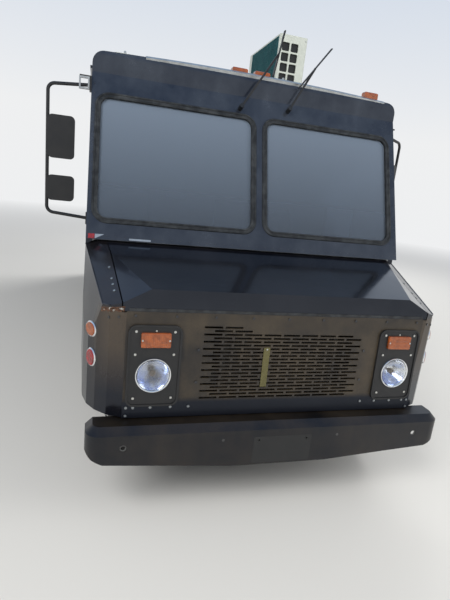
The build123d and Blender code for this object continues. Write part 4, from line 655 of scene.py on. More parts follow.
@dataclass
class Shape:
    """Points and faces that are gathered and then become one mesh piece."""

    points: list[Vector] = field(default_factory=list)
    faces: list[tuple[int, ...]] = field(default_factory=list)

    def grid(
        self, rows: Sequence[Sequence[Vector]], wrap_rows: bool = False, wrap_columns: bool = False,
    ) -> None:
        """Join rows of points with quads.

        Args:
            rows: Rows of equally many points.
            wrap_rows: Join the last row to the first.
            wrap_columns: Join the end of each row to its start.
        """
        base, count, width = len(self.points), len(rows), len(rows[0])
        for row in rows:
            self.points.extend(Vector(p) for p in row)
        for r in range(count if wrap_rows else count - 1):
            for c in range(width if wrap_columns else width - 1):
                a, b = base + r * width, base + ((r + 1) % count) * width
                n = (c + 1) % width
                self.faces.append((a + c, a + n, b + n, b + c))

    def cap(self, row: Sequence[Vector]) -> None:
        """Close an end with one face.

        Args:
            row: Corners of the face in order.
        """
        base = len(self.points)
        self.points.extend(Vector(p) for p in row)
        self.faces.append(tuple(range(base, base + len(row))))

    def loft(self, rows: Sequence[Sequence[Vector]]) -> None:
        """Join closed sections in order and close both ends.

        Args:
            rows: Sections of equally many points.
        """
        self.grid(rows, wrap_columns=True)
        self.cap(rows[0])
        self.cap(rows[-1])

    def box(self, corner: Sequence[float], far: Sequence[float]) -> None:
        """Add a box.

        Args:
            corner: One corner.
            far: The corner opposite.
        """
        low, high = [min(pair) for pair in zip(corner, far)], [max(pair) for pair in zip(corner, far)]
        foot = [Vector((x, y, low[2])) for x, y in rectangle(low[0], low[1], high[0], high[1])]
        self.prism(foot, Vector((0, 0, high[2] - low[2])))

    def prism(self, outline: Sequence[Vector], reach: Vector) -> None:
        """Add a closed prism over a flat outline.

        Args:
            outline: Corners of one end.
            reach: From that end to the other.
        """
        self.loft([outline, [p + reach for p in outline]])

    def lathe(
        self, profile: Sequence[Pair], origin: Vector, axis: Vector, sides: int, closed: bool = False,
    ) -> None:
        """Turn a profile of radius and height round an axis.

        Args:
            profile: Pairs of radius and height along the axis.
            origin: Point on the axis at height zero.
            axis: Direction of the axis.
            sides: Steps round the axis.
            closed: Join the profile's end to its start.
        """
        turn = facing(axis)
        rows = []
        for angle in angles(sides):
            ray = turn @ Vector((math.cos(angle), math.sin(angle), 0))
            rows.append([origin + ray * max(r, 1e-6) + axis.normalized() * h for r, h in profile])
        self.grid(rows, wrap_rows=True, wrap_columns=closed)

    def band(self, centre: Vector, turn: Matrix, outline: Sequence[Pair], profile: Sequence[Pair]) -> None:
        """Run a closed profile round a flat closed outline.

        Args:
            centre: Middle of the outline.
            turn: Rotation whose columns are right, up and out.
            outline: Points of the path, counter-clockwise.
            profile: Pairs of outward and upward distance from the path.
        """
        rows = []
        count = len(outline)
        for index, (u, v) in enumerate(outline):
            before, after = outline[index - 1], outline[(index + 1) % count]
            along = Vector((after[0] - before[0], after[1] - before[1])).normalized()
            side = Vector((along.y, -along.x))
            rows.append([centre + turn @ Vector((u + side.x * a, v + side.y * a, b)) for a, b in profile])
        self.grid(rows, wrap_rows=True, wrap_columns=True)

    def tube(self, path: Sequence[Vector], radius: float, sides: int) -> None:
        """Run a round tube along a path with closed ends.

        Args:
            path: Points of the centreline.
            radius: Half the tube's width.
            sides: Steps round the tube.
        """
        rows = []
        for index, point in enumerate(path):
            ahead = path[min(index + 1, len(path) - 1)] - path[max(index - 1, 0)]
            ring = [(math.cos(a) * radius, math.sin(a) * radius) for a in angles(sides)]
            rows.append(placed(point, facing(ahead), ring))
        self.loft(rows)

    def mesh(self, name: str, crease: float = 35.0) -> Mesh:
        """Merge, turn faces outwards and shade by angle.

        Args:
            name: Name of the mesh.
            crease: Edges sharper than this many degrees stay sharp.

        Returns:
            The finished mesh.
        """
        mesh = bpy.data.meshes.new(name)
        mesh.from_pydata([tuple(p) for p in self.points], [], self.faces)
        work = bmesh.new()
        work.from_mesh(mesh)
        bmesh.ops.remove_doubles(work, verts=work.verts, dist=1e-5)
        bmesh.ops.dissolve_degenerate(work, edges=work.edges, dist=1e-6)
        bmesh.ops.recalc_face_normals(work, faces=work.faces)
        work.to_mesh(mesh)
        work.free()
        mesh.shade_smooth()
        mesh.set_sharp_from_angle(angle=math.radians(crease))
        return mesh

    def piece(self, name: str, finish: Finish, slot: str, body: str = TRUCK, crease: float = 35.0) -> Object:
        """Make the gathered faces one piece that rides on a body.

        Args:
            name: Name of the piece.
            finish: Its surface.
            slot: Material slot name; not used.
            body: CAD body that it moves with.
            crease: Edges sharper than this many degrees stay sharp.

        Returns:
            The new object.
        """
        return place_piece(self.mesh(name, crease), name, finish, body)


def new_object(name: str, data: ID) -> Object:
    """Put a mesh, light or camera in the scene.

    Args:
        name: Name of the object.
        data: What it shows.

    Returns:
        The new object.
    """
    made = bpy.data.objects.new(name, data)
    bpy.context.scene.collection.objects.link(made)
    return made


def evaluated(source: Object) -> Mesh:
    """Turn an object with its modifiers into a plain mesh.

    Args:
        source: Object with live modifiers.

    Returns:
        A new mesh.
    """
    graph = bpy.context.evaluated_depsgraph_get()
    return bpy.data.meshes.new_from_object(source.evaluated_get(graph), depsgraph=graph)


def place_piece(mesh: Mesh, name: str, finish: Finish, body: str = TRUCK) -> Object:
    """Put a mesh in the scene as a piece with its finish and body.

    Args:
        mesh: The finished mesh.
        name: Name of the piece.
        finish: Its surface.
        body: CAD body that it moves with.

    Returns:
        The new object.
    """
    mesh.materials.clear()
    mesh.materials.append(finish.material())
    piece = new_object(name, mesh)
    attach(piece, body)
    log.info("%s rides on %s", name, body)
    return piece


def facing(axis: Vector) -> Matrix:
    """Turn +Z onto an axis and keep Y as upright as it can be.

    Args:
        axis: Where +Z points afterwards.

    Returns:
        The rotation, whose columns are right, up and out.
    """
    out = axis.normalized()
    guide = Vector((0, 0, 1)) if abs(out.z) < 0.95 else Vector((0, 1, 0))
    right = guide.cross(out).normalized()
    up = out.cross(right)
    return Matrix((right, up, out)).transposed()


def turned(point: Vector, pivot: Vector, turn: Matrix) -> Vector:
    """Turn a point about a pivot."""
    return pivot + turn @ (point - pivot)


def placed(centre: Vector, turn: Matrix, outline: Iterable[Pair]) -> list[Vector]:
    """Stand a flat outline at a centre, turned to face outwards."""
    return [centre + turn @ Vector((u, v, 0)) for u, v in outline]


def angles(steps: int) -> list[float]:
    """Angles of even steps round a full turn."""
    return [2 * math.pi * step / steps for step in range(steps)]


def rectangle(left: float, low: float, right: float, high: float) -> tuple[Pair, ...]:
    """Corners of a rectangle, counter-clockwise."""
    return (left, low), (right, low), (right, high), (left, high)


def rounded(width: float, height: float, radius: float, steps: int) -> list[Pair]:
    """Draw a rounded rectangle about the middle.

    Args:
        width: Its width.
        height: Its height.
        radius: Radius of the corners.
        steps: Steps round one corner.

    Returns:
        Points of the outline, counter-clockwise.
    """
    outline = []
    for side_x, side_y, start in ((1, 1, 0), (-1, 1, 90), (-1, -1, 180), (1, -1, 270)):
        middle_x, middle_y = side_x * (width / 2 - radius), side_y * (height / 2 - radius)
        for step in range(steps + 1):
            angle = math.radians(start + 90 * step / steps)
            outline.append((middle_x + radius * math.cos(angle), middle_y + radius * math.sin(angle)))
    return outline


def paint_nodes(finish: Finish, *names: str) -> None:
    """Give CAD nodes a finish."""
    for name in names:
        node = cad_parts[name]
        node.data.materials.clear()
        node.data.materials.append(finish.material())


def baked(points: Object, tree: NodeTree, values: dict[str, Any], name: str) -> Mesh:
    """Run a geometry tree on an object and return the plain mesh.

    Args:
        points: Object that carries the input geometry; it is removed.
        tree: Geometry tree to run.
        values: Tree inputs by their names.
        name: Name of the new mesh.

    Returns:
        The realised mesh.
    """
    modifier = points.modifiers.new("made", "NODES")
    modifier.node_group = tree
    for item in tree.interface.items_tree:
        if item.item_type == "SOCKET" and item.in_out == "INPUT" and item.name in values:
            modifier[item.identifier] = values[item.name]
    bpy.context.view_layer.update()
    mesh = evaluated(points)
    mesh.name = name
    points.modifiers.remove(modifier)
    bpy.data.objects.remove(points)
    return mesh


def new_tree(name: str, inputs: Sequence[tuple[str, str, Any]]) -> tuple[NodeTree, Adder, Any]:
    """Start a geometry tree, whose first input is the geometry and whose last is the material.

    Args:
        name: Name of the tree.
        inputs: Name, socket type and default of each input between them.

    Returns:
        The tree, what adds a node to it, and its input sockets by name.
    """
    tree = bpy.data.node_groups.new(name, "GeometryNodeTree")
    tree.interface.new_socket("Geometry", in_out="INPUT", socket_type="NodeSocketGeometry")
    for label, kind, default in inputs:
        tree.interface.new_socket(label, in_out="INPUT", socket_type=kind).default_value = default
    tree.interface.new_socket("Material", in_out="INPUT", socket_type="NodeSocketMaterial")
    tree.interface.new_socket("Geometry", in_out="OUTPUT", socket_type="NodeSocketGeometry")
    return tree, partial(add_node, tree), tree.nodes.new("NodeGroupInput").outputs


def close_tree(add: Adder, geometry: Node, material: NodeSocket) -> None:
    """End a tree with realised instances and their material.

    Args:
        add: Adds a node to the tree.
        geometry: Node that gives what it makes.
        material: Material that it gets.
    """
    real = add("GeometryNodeRealizeInstances", {0: geometry})
    dressed = add("GeometryNodeSetMaterial", {"Geometry": real, "Material": material})
    add("NodeGroupOutput", {0: dressed})


@cache
def fastener_tree(head: Head) -> NodeTree:
    """Tree that stands one fastener head on each point, turned to the point's facing.

    Args:
        head: Kind of head.

    Returns:
        The geometry tree.
    """
    tree, add, given = new_tree(f"fasteners_{head.name.lower()}", [
        ("Radius", "NodeSocketFloat", 0.006), ("Height", "NodeSocketFloat", 0.003),
    ])
    sides, domed = head.value
    if domed:
        unit = add("GeometryNodeMeshUVSphere", {"Segments": sides, "Rings": 5, "Radius": 1.0})
    else:
        unit = add("GeometryNodeMeshCylinder", {
            "Vertices": sides, "Radius": 1.0, "Depth": 2.0,
        }, fill_type="NGON")
    size = add("CombineXYZ", {"X": given["Radius"], "Y": given["Radius"], "Z": given["Height"]})
    aim = add("GeometryNodeInputNamedAttribute", {"Name": "facing"}, data_type="FLOAT_VECTOR")
    turn = add("FunctionNodeAlignRotationToVector", {"Vector": aim.outputs["Attribute"]}, axis="Z")
    stood = add("GeometryNodeInstanceOnPoints", {
        "Points": given["Geometry"], "Instance": unit.outputs["Mesh"], "Rotation": turn, "Scale": size,
    })
    close_tree(add, stood, given["Material"])
    return tree


@cache
def ring_tree() -> NodeTree:
    """Tree that repeats its input round an axis along X and joins the copies.

    Returns:
        The geometry tree.
    """
    tree, add, given = new_tree("ring_of_pitches", [
        ("Count", "NodeSocketInt", 12), ("Centre", "NodeSocketVector", (0.0, 0.0, 0.0)),
    ])
    spots = add("GeometryNodeMeshLine", {
        "Count": given["Count"], "Start Location": given["Centre"], "Offset": (0.0, 0.0, 0.0),
    })
    index = add("GeometryNodeInputIndex")
    share = add("Math", {0: index, 1: given["Count"]}, operation="DIVIDE")
    angle = add("Math", {0: share, 1: 2 * math.pi}, operation="MULTIPLY")
    euler = add("CombineXYZ", {"X": angle})
    turn = add("FunctionNodeEulerToRotation", {0: euler})
    stood = add("GeometryNodeInstanceOnPoints", {
        "Points": spots, "Instance": given["Geometry"], "Rotation": turn,
    })
    real = add("GeometryNodeRealizeInstances", {0: stood})
    joined = add("GeometryNodeMergeByDistance", {"Geometry": real, "Distance": 0.00005})
    close_tree(add, joined, given["Material"])
    return tree


@cache
def row_tree() -> NodeTree:
    """Tree that makes a row of thin plates, such as fins or slats.

    Returns:
        The geometry tree.
    """
    tree, add, given = new_tree("row_of_plates", [
        ("Count", "NodeSocketInt", 10), ("Start", "NodeSocketVector", (0.0, 0.0, 0.0)),
        ("Step", "NodeSocketVector", (0.0, 0.0, 0.01)), ("Plate", "NodeSocketVector", (0.1, 0.1, 0.001)),
    ])
    spots = add("GeometryNodeMeshLine", {
        "Count": given["Count"], "Start Location": given["Start"], "Offset": given["Step"],
    })
    plate = add("GeometryNodeMeshCube", {"Size": given["Plate"]})
    stood = add("GeometryNodeInstanceOnPoints", {"Points": spots, "Instance": plate.outputs["Mesh"]})
    close_tree(add, stood, given["Material"])
    return tree


def seed_object(points: Sequence[Vector]) -> Object:
    """Make a bare object that carries points into a geometry tree.

    Args:
        points: The points.

    Returns:
        The object.
    """
    mesh = bpy.data.meshes.new("seed")
    mesh.from_pydata([tuple(p) for p in points], [], [])
    return new_object("seed", mesh)


def fasteners(
    name: str, spots: Spots, radius_mm: float, height_mm: float,
    head: Head = Head.RIVET, finish: Finish = PAINTED_FASTENER,
) -> None:
    """Stand fastener heads on a surface, as one piece of the body.

    Args:
        name: Name of the piece.
        spots: Point on the surface and direction out of it, for each head.
        radius_mm: Radius of a head.
        height_mm: How far a head stands proud.
        head: Kind of head.
        finish: Its surface.
    """
    seed = seed_object([spot for spot, _ in spots])
    aim = seed.data.attributes.new("facing", "FLOAT_VECTOR", "POINT")
    aim.data.foreach_set("vector", [c for _, out in spots for c in out.normalized()])
    mesh = baked(seed, fastener_tree(head), {
        "Radius": radius_mm * MM, "Height": height_mm * MM, "Material": finish.material(),
    }, name)
    if head is Head.RIVET:
        mesh.shade_smooth()
    place_piece(mesh, name, finish)


def plates(
    name: str, count: int, start: Sequence[float], step: Sequence[float], plate: Sequence[float],
    finish: Finish,
) -> None:
    """Make a row of thin plates, as one piece of the body.

    Args:
        name: Name of the piece.
        count: How many plates.
        start: Middle of the first plate.
        step: From one plate to the next.
        plate: Size of a plate.
        finish: Its surface.
    """
    mesh = baked(seed_object([Vector((0, 0, 0))]), row_tree(), {
        "Count": count, "Start": start, "Step": step, "Plate": plate, "Material": finish.material(),
    }, name)
    place_piece(mesh, name, finish)


@dataclass(frozen=True)
class LeaningPlane:
    """Flat front surface that leans back: its Y at the ground and its gain in Y for each unit of height."""

    foot_y: float
    slope: float

    def out(self) -> Vector:
        """Direction out of the surface."""
        return Vector((0, -1, self.slope)).normalized()

    def at(self, x: float, z: float, proud: float = 0.0) -> Vector:
        """Point on the surface, or proud of it."""
        return Vector((x, self.foot_y + self.slope * z, z)) + self.out() * proud

    def tile(self, corners: Iterable[Pair], thick: float) -> Shape:
        """Lay a flat tile on the surface.

        Args:
            corners: X and height of each corner.
            thick: How far the tile stands proud.

        Returns:
            The tile's shape.
        """
        shape = Shape()
        shape.prism([self.at(x, z) for x, z in corners], self.out() * thick)
        return shape


# Face plate, which leans back by 40 mm for each metre of height
FACE = LeaningPlane(FACE_Y - 0.036, 0.04)
# Raked panel that holds the windshields: its slope, and the Y and height of its foot
CAP_SLOPE = 0.363
CAP_FOOT_Y = FACE_Y + 0.693
CAP_FOOT_Z = 1.465
CAP = LeaningPlane(CAP_FOOT_Y - CAP_SLOPE * CAP_FOOT_Z, CAP_SLOPE)
BODY_HALF_W = 1.145
EAVE_Z = 2.56
# Roof above the eaves: rise to its edge, rise from there to its middle, and half width
ROOF_EDGE_RISE = 0.080
ROOF_CROWN_RISE = 0.025
ROOF_HALF_W = 1.065
FRONT_AXLE_Y = FACE_Y + 0.700
REAR_AXLE_Y = 1.465
REAR_DOOR_Y = 3.175
SIDES = ((1, "left"), (-1, "right"))


@dataclass(frozen=True)
class FenderSlope:
    """Sloping top of a fender and the edge where its flank starts, as half width, station and height."""

    normal: Triple = (0.434, -0.337, 0.836)
    lip: tuple[Triple, ...] = ((1.000, 0.038, 1.2183), (1.038, 0.076, 1.2139), (1.1432, 0.740, 1.4269))

    def out(self, side: int) -> Vector:
        """Direction out of the slope on one side."""
        return Vector((side * self.normal[0], self.normal[1], self.normal[2])).normalized()

    def at(self, side: int, x: float, y: float) -> Vector:
        """Find a point on the slope.

        Args:
            side: 1 for left, -1 for right.
            x: Half width.
            y: Station behind the face.

        Returns:
            The point.
        """
        foot = self.lip[1]
        rise = self.normal[0] * (x - foot[0]) + self.normal[1] * (y - foot[1])
        return Vector((side * x, FACE_Y + y, foot[2] - rise / self.normal[2]))


FENDER = FenderSlope()


def corner_point(side: int, first: int, share: float, z: float) -> tuple[Vector, Vector]:
    """Find a point on one upright facet of the nose's corner.

    Args:
        side: 1 for left, -1 for right.
        first: Number of the corner that the facet starts at.
        share: How far along the facet, from 0 to 1.
        z: Height.

    Returns:
        The point and the direction out of the facet.
    """
    (x0, y0), (x1, y1) = NOSE_CORNER[first], NOSE_CORNER[first + 1]
    spot = Vector((side * (x0 + (x1 - x0) * share), y0 + (y1 - y0) * share, z))
    return spot, Vector((side * (y1 - y0), x0 - x1, 0)).normalized()


def crown_z(x: float) -> float:
    """Height of the roof at a distance from the middle."""
    return EAVE_Z + ROOF_EDGE_RISE + ROOF_CROWN_RISE * (1 - (x / ROOF_HALF_W) ** 2)


@dataclass
class Bodywork:
    """Painted shell with its seams, rivets and trim; sizes in metres, stations from the face."""

    seam_start: float = 2.66
    seam_pitch: float = 0.610
    seam_w: float = 0.045
    seam_t: float = 0.002
    seam_gap: float = 0.03
    rivet_start: float = 2.0
    rivet_pitch: float = 0.055
    rivet_dy: float = 0.013
    arch_half_l: float = 0.50
    skirt_z: float = 0.50
    rub_z: float = 0.925
    rub_start: float = 1.97
    rub_t: float = 0.008
    edge_rivet_x: float = 1.125
    foot_rivet_z: float = 1.487
    # Number, first and pitch of the rivets up the raked panel's edges and along its foot
    edge_rivets: tuple[int, float, float] = (16, 1.50, 0.062)
    foot_rivets: tuple[int, float, float] = (37, -1.08, 0.06)
    trim_x: Pair = (-0.805, 1.040)
    trim_z: float = 2.506
    # Sections as Y and Z from the roof's crown
    trim_section: tuple[Pair, ...] = (
        (0.010, -0.030), (0.0, -0.008), (0.018, 0.005), (0.100, 0.012), (0.100, 0.006), (0.022, -0.002),
    )
    joint_section: tuple[Pair, ...] = ((-0.03, -0.002), (-0.03, 0.003), (0.03, 0.003), (0.03, -0.002))
    # Middle and size of the strip at the foot of the raked panel; the reflector beside it as left, low,
    # right and high edge; and the corners of its gusset
    cowl_strip: tuple[Pair, Pair] = ((-0.808, 1.475), (0.140, 0.012))
    reflector: tuple[float, ...] = (-1.131, 1.468, -1.092, 1.496)
    gusset: tuple[Pair, ...] = ((-1.090, 1.468), (-1.090, 1.496), (-1.034, 1.496))
    joint_half_w: float = 1.06
    joint_start: float = 0.6
    joint_pitch: float = 0.9
    roof_steps: int = 24

    def paint(self) -> None:
        """Give the shell's CAD nodes their finishes."""
        paint_nodes(NOSE_ENAMEL, "nose_shell")
        paint_nodes(BLACK_ENAMEL, "hood", "side_wall_left", "side_wall_right", "rear_wall", "service_hatch")
        paint_nodes(BLACK_ENAMEL, "cab_door_left", "cab_door_right", "rear_door_left", "rear_door_right")
        paint_nodes(CAP_ENAMEL, "front_cap")
        paint_nodes(FADED_ENAMEL, "front_panel")
        paint_nodes(BUMPER_ENAMEL, "front_bumper", "rear_bumper")
        paint_nodes(ROOF_COATING, "roof_panel")
        paint_nodes(AMBER_LENS, "amber_lamps")
        paint_nodes(RED_LENS, "red_lamps")

    def over_arch(self, y: float) -> bool:
        """Tell whether a place is over the rear wheels' arch."""
        return abs(y - REAR_AXLE_Y) < self.arch_half_l

    def seam_ys(self) -> list[float]:
        """Place the upright joints of the side sheets.

        Returns:
            Y of each joint, from the front.
        """
        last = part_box("side_wall_left")[1].y - 0.1
        places = []
        y = FACE_Y + self.seam_start
        while y < last:
            places.append(y)
            y += self.seam_pitch
        return places

    def seams(self) -> None:
        """Cover the joints of the side sheets with straps, and rivet straps, eaves and skirts."""
        hatch_low, hatch_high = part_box("service_hatch")
        for side, word in SIDES:
            straps = Shape()
            rivets: Spots = []
            out = Vector((side, 0, 0))
            face_x = side * BODY_HALF_W
            proud_x = face_x + side * self.seam_t
            for y in self.seam_ys():
                under_hatch = side < 0 and hatch_low.y - 0.04 < y < hatch_high.y + 0.04
                top_z = hatch_low.z - 0.05 if under_hatch else EAVE_Z - self.seam_gap
                spans = [(self.rub_z + self.seam_gap, top_z)]
                if not self.over_arch(y):
                    spans.insert(0, (self.skirt_z + self.seam_gap, self.rub_z - self.seam_gap))
                for low_z, high_z in spans:
                    straps.box((face_x, y - self.seam_w / 2, low_z), (proud_x, y + self.seam_w / 2, high_z))
                    count = int((high_z - low_z) / self.rivet_pitch)
                    for i in range(count + 1):
                        z = low_z + 0.01 + i * (high_z - low_z - 0.02) / count
                        for dy in (-self.rivet_dy, self.rivet_dy):
                            rivets.append((Vector((proud_x, y + dy, z)), out))
            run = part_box(f"side_wall_{word}")[1].y - FACE_Y - self.rivet_start - 0.02
            for i in range(int(run / self.rivet_pitch)):
                y = FACE_Y + self.rivet_start + i * self.rivet_pitch
                over_hatch = side < 0 and hatch_low.y - 0.03 < y < hatch_high.y + 0.03
                rivets.append((Vector((face_x, y, EAVE_Z - (0.040 if over_hatch else 0.045))), out))
                if not self.over_arch(y):
                    rivets.append((Vector((face_x, y, self.skirt_z + 0.022)), out))
            straps.piece(f"side_seams_{word}", BLACK_ENAMEL, "black_paint")
            fasteners(f"side_rivets_{word}", rivets, 5, 2.2)

    def front_rivets(self) -> None:
        """Rivet the edges and the foot of the raked panel."""
        out = CAP.out()
        count, first, pitch = self.edge_rivets
        edges = (-self.edge_rivet_x, self.edge_rivet_x)
        spots = [(CAP.at(x, first + i * pitch), out) for x in edges for i in range(count)]
        count, first, pitch = self.foot_rivets
        spots += [(CAP.at(first + i * pitch, self.foot_rivet_z), out) for i in range(count)]
        fasteners("front_rivets", spots, 4, 1.8)

    def across_roof(self, shape: Shape, ends: Sequence[float], y: float, section: Sequence[Pair]) -> None:
        """Run a section across the roof, along its crown.

        Args:
            shape: Shape that gets the run.
            ends: X where it starts and ends.
            y: Where it crosses.
            section: Corners of the section, as Y and Z from the crown.
        """
        rows = []
        for step in range(self.roof_steps + 1):
            x = ends[0] + (ends[1] - ends[0]) * step / self.roof_steps
            rows.append([Vector((x, y + dy, crown_z(x) + dz)) for dy, dz in section])
        shape.loft(rows)

    def roof_trim(self) -> None:
        """Bright strip on the roof's front roll, broken off at its right end, and the joints of the roof."""
        strip, joints = Shape(), Shape()
        self.across_roof(strip, self.trim_x, CAP.at(0, self.trim_z).y, self.trim_section)
        strip.piece("roof_edge_strip", ALUMINIUM_TRIM, "roof_paint")
        low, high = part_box("roof_panel")
        y = low.y + self.joint_start
        while y < high.y - 0.3:
            self.across_roof(joints, (-self.joint_half_w, self.joint_half_w), y, self.joint_section)
            y += self.joint_pitch
        joints.piece("roof_seams", ROOF_COATING, "roof_paint")

    def small_trim(self) -> None:
        """Rub-rail inserts, and the odd bright bits at the foot of the raked panel."""
        end_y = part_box("side_wall_left")[1].y - 0.01
        for side, word in SIDES:
            insert = Shape()
            x, start_y = side * (BODY_HALF_W + self.rub_t), FACE_Y + self.rub_start
            insert.box((x, start_y, self.rub_z - 0.010), (x + side * 0.004, end_y, self.rub_z + 0.010))
            insert.piece(f"rub_insert_{word}", ALUMINIUM_TRIM, "roof_paint")
        strip = Shape()
        middle, size = self.cowl_strip
        outline = rounded(*size, 0.004, 3)
        strip.prism(placed(CAP.at(*middle), facing(CAP.out()), outline), CAP.out() * 0.003)
        strip.piece("cowl_strip", ALUMINIUM_TRIM, "roof_paint")
        reflector = CAP.tile(rectangle(*self.reflector), 0.004)
        reflector.piece("corner_reflector", RED_LENS, "red_lens")
        gusset = CAP.tile(self.gusset, 0.002)
        gusset.piece("corner_gusset", ALUMINIUM_TRIM, "roof_paint")

    def build(self) -> None:
        """Dress the whole shell."""
        self.paint()
        self.seams()
        self.front_rivets()
        self.roof_trim()
        self.small_trim()


@dataclass
class Nose:
    """Face plate fittings: bezels, sealed-beam lamps, signals and screws; sizes in metres.

    A place on the face is given as half width and height, and a station is measured from the face.
    """

    lamp: Pair = (0.761, 0.845)
    ring_r: float = 0.099
    lens_r: float = 0.087
    lens_foot: float = 0.0065
    lens_rise: float = 0.0145
    bowl_depth: float = 0.078
    bezel: Pair = (0.760, 0.896)
    bezel_t: float = 0.008
    bezel_screw_x: float = 0.103
    bezel_screw_zs: tuple[float, ...] = (0.194, 0.067, -0.182)
    signal: Pair = (0.757, 1.044)
    signal_t: float = 0.0155
    signal_screw_x: float = 0.072
    signal_screw_z: float = 0.050
    inner_bolt_x: float = 0.520
    inner_bolt_zs: tuple[float, ...] = (0.80, 0.988)
    foot_bolt_xs: tuple[float, ...] = (0.897, 0.859, 0.765, 0.654, 0.552)
    foot_bolt_z: float = 0.656
    low_bolt: Pair = (0.897, 0.610)
    # Number, half span and height of the bolts under the hood's edge
    top_bolts: tuple[int, float, float] = (9, 0.870, 1.174)
    # Facet, share along it and height
    facet_bolts: tuple[tuple[int, float, float], ...] = ((0, 0.46, 1.162), (1, 0.06, 1.153))
    # Half width of the screws on a fender at the face and its gain for each metre back
    fender_screw_x: Pair = (0.964, 0.106)
    fender_screw_ys: tuple[float, ...] = (0.138, 0.197, 0.253, 0.369)
    # Station, height, half length and half height of the amber and the red side marker
    markers: tuple[tuple[float, float, float, float], ...] = (
        (0.145, 1.053, 0.046, 0.038), (0.137, 0.893, 0.040, 0.047),
    )
    rim_section: tuple[Pair, ...] = ((-0.001, 0), (0.006, 0), (0.006, 0.004), (0.002, 0.009), (-0.001, 0.009))
    # Left, low, right and high edge, on the face, of the dark strip under the hood's lip, which is painted
    # shade, and of the bar over the grille
    shade_strip: tuple[float, ...] = (-0.905, 1.198, 0.905, 1.213)
    bar: tuple[float, ...] = (-0.135, 0.765, -0.097, 1.003)
    # Share of the rust on the first facet, and height of its top edge there
    rust_split: float = 0.62
    rust_z: float = 1.2235
    bumper_bolt: Pair = (0.358, 0.498)
    plate: Pair = (0.008, 0.424)
    grommet: Pair = (0.907, 0.480)
    grommet_section: tuple[Pair, ...] = (
        (0.0185, 0), (0.0185, 0.006), (0.016, 0.0078), (0.0125, 0.006), (0.0125, 0),
    )
    flush: float = 0.0003

    def fasten(self) -> None:
        """Screws and bolts of the bezels, the signals, the fenders and the face plate."""
        bright: Spots = []
        small: Spots = []
        dark: Spots = []
        pale: Spots = []
        out = FACE.out()
        for side, _ in SIDES:
            for dz in self.bezel_screw_zs:
                for dx in (-self.bezel_screw_x, self.bezel_screw_x):
                    bright.append((FACE.at(side * self.bezel[0] + dx, self.bezel[1] + dz, self.bezel_t), out))
            x, z = side * self.signal[0], self.signal[1]
            for dx in (-self.signal_screw_x, self.signal_screw_x):
                small.append((FACE.at(x + dx, z, self.bezel_t + self.signal_t), out))
            small.append((FACE.at(x, z + self.signal_screw_z, self.bezel_t), out))
            dark += [(FACE.at(side * self.inner_bolt_x, height), out) for height in self.inner_bolt_zs]
            pale += [(FACE.at(side * half_w, self.foot_bolt_z), out) for half_w in self.foot_bolt_xs]
            pale.append((FACE.at(side * self.low_bolt[0], self.low_bolt[1]), out))
            foot_x, gain = self.fender_screw_x
            for y in self.fender_screw_ys:
                bright.append((FENDER.at(side, foot_x + gain * y, y), FENDER.out(side)))
            dark += [corner_point(side, *bolt) for bolt in self.facet_bolts]
        count, half_span, z = self.top_bolts
        dark += [(FACE.at(-half_span + 2 * half_span * i / (count - 1), z), out) for i in range(count)]
        fasteners("bezel_screws", bright, 7, 4, Head.SCREW, ZINC)
        fasteners("signal_screws", small, 5, 2.5, Head.SCREW, ZINC)
        fasteners("face_bolts", dark, 8, 5, Head.HEX)
        fasteners("foot_bolts", pale, 8, 5, Head.HEX, GALVANISED)

    def edges(self) -> None:
        """Rolled lips along the fenders, a dark rubber strip under the hood's lip as painted shade, and the
        rims of the side markers.
        """
        lips, rims = Shape(), Shape()
        start_y, end_y = NOSE_CORNER[2][1], NOSE_CORNER[3][1]
        for side, _ in SIDES:
            lips.tube([Vector((side * x, FACE_Y + y, z)) for x, y, z in FENDER.lip], 0.004, 8)
            for y, z, half_length, half_height in self.markers:
                spot, out = corner_point(side, 2, (FACE_Y + y - start_y) / (end_y - start_y), z)
                outline = [(half_length * math.cos(a), half_height * math.sin(a)) for a in angles(40)]
                rims.band(spot, facing(out), outline, self.rim_section)
        lips.piece("fender_lips", BLACK_ENAMEL, "black_paint")
        rims.piece("marker_rims", CHROME, "lamp_glass")
        # A dark rubber strip under the hood's lip: painted shade where the lip overhangs the face plate
        shade_strip = FACE.tile(rectangle(*self.shade_strip), 0.003)
        shade_strip.piece("hood_painted_shade_strip", GLAZING_RUBBER, "black_plastic", "hood")

    def rust(self) -> None:
        """Flakes of rust and bright bare metal under the right fender's front edge."""
        chance = random.Random(11)
        flakes, bare = Shape(), Shape()
        for index in range(64):
            share = chance.random()
            first = 0 if share < self.rust_split else 1
            along = (share - first * self.rust_split) / self.rust_split
            drop = 0.003 + 0.022 * chance.random() ** 2
            top = self.rust_z - 0.020 * (1.0 if first else along)
            spot, out = corner_point(-1, first, along if first else 0.1 + 0.9 * along, top - drop)
            size = 0.002 + 0.006 * chance.random()
            outline = []
            for angle in angles(9):
                radius = size * (0.55 + 0.7 * chance.random())
                outline.append((radius * math.cos(angle) * 1.3, radius * math.sin(angle)))
            (bare if index % 9 == 0 else flakes).prism(placed(spot, facing(out), outline), out * 0.0008)
        flakes.piece("rust_flakes", RUST, "black_paint")
        bare.piece("bare_metal", ZINC, "stainless")

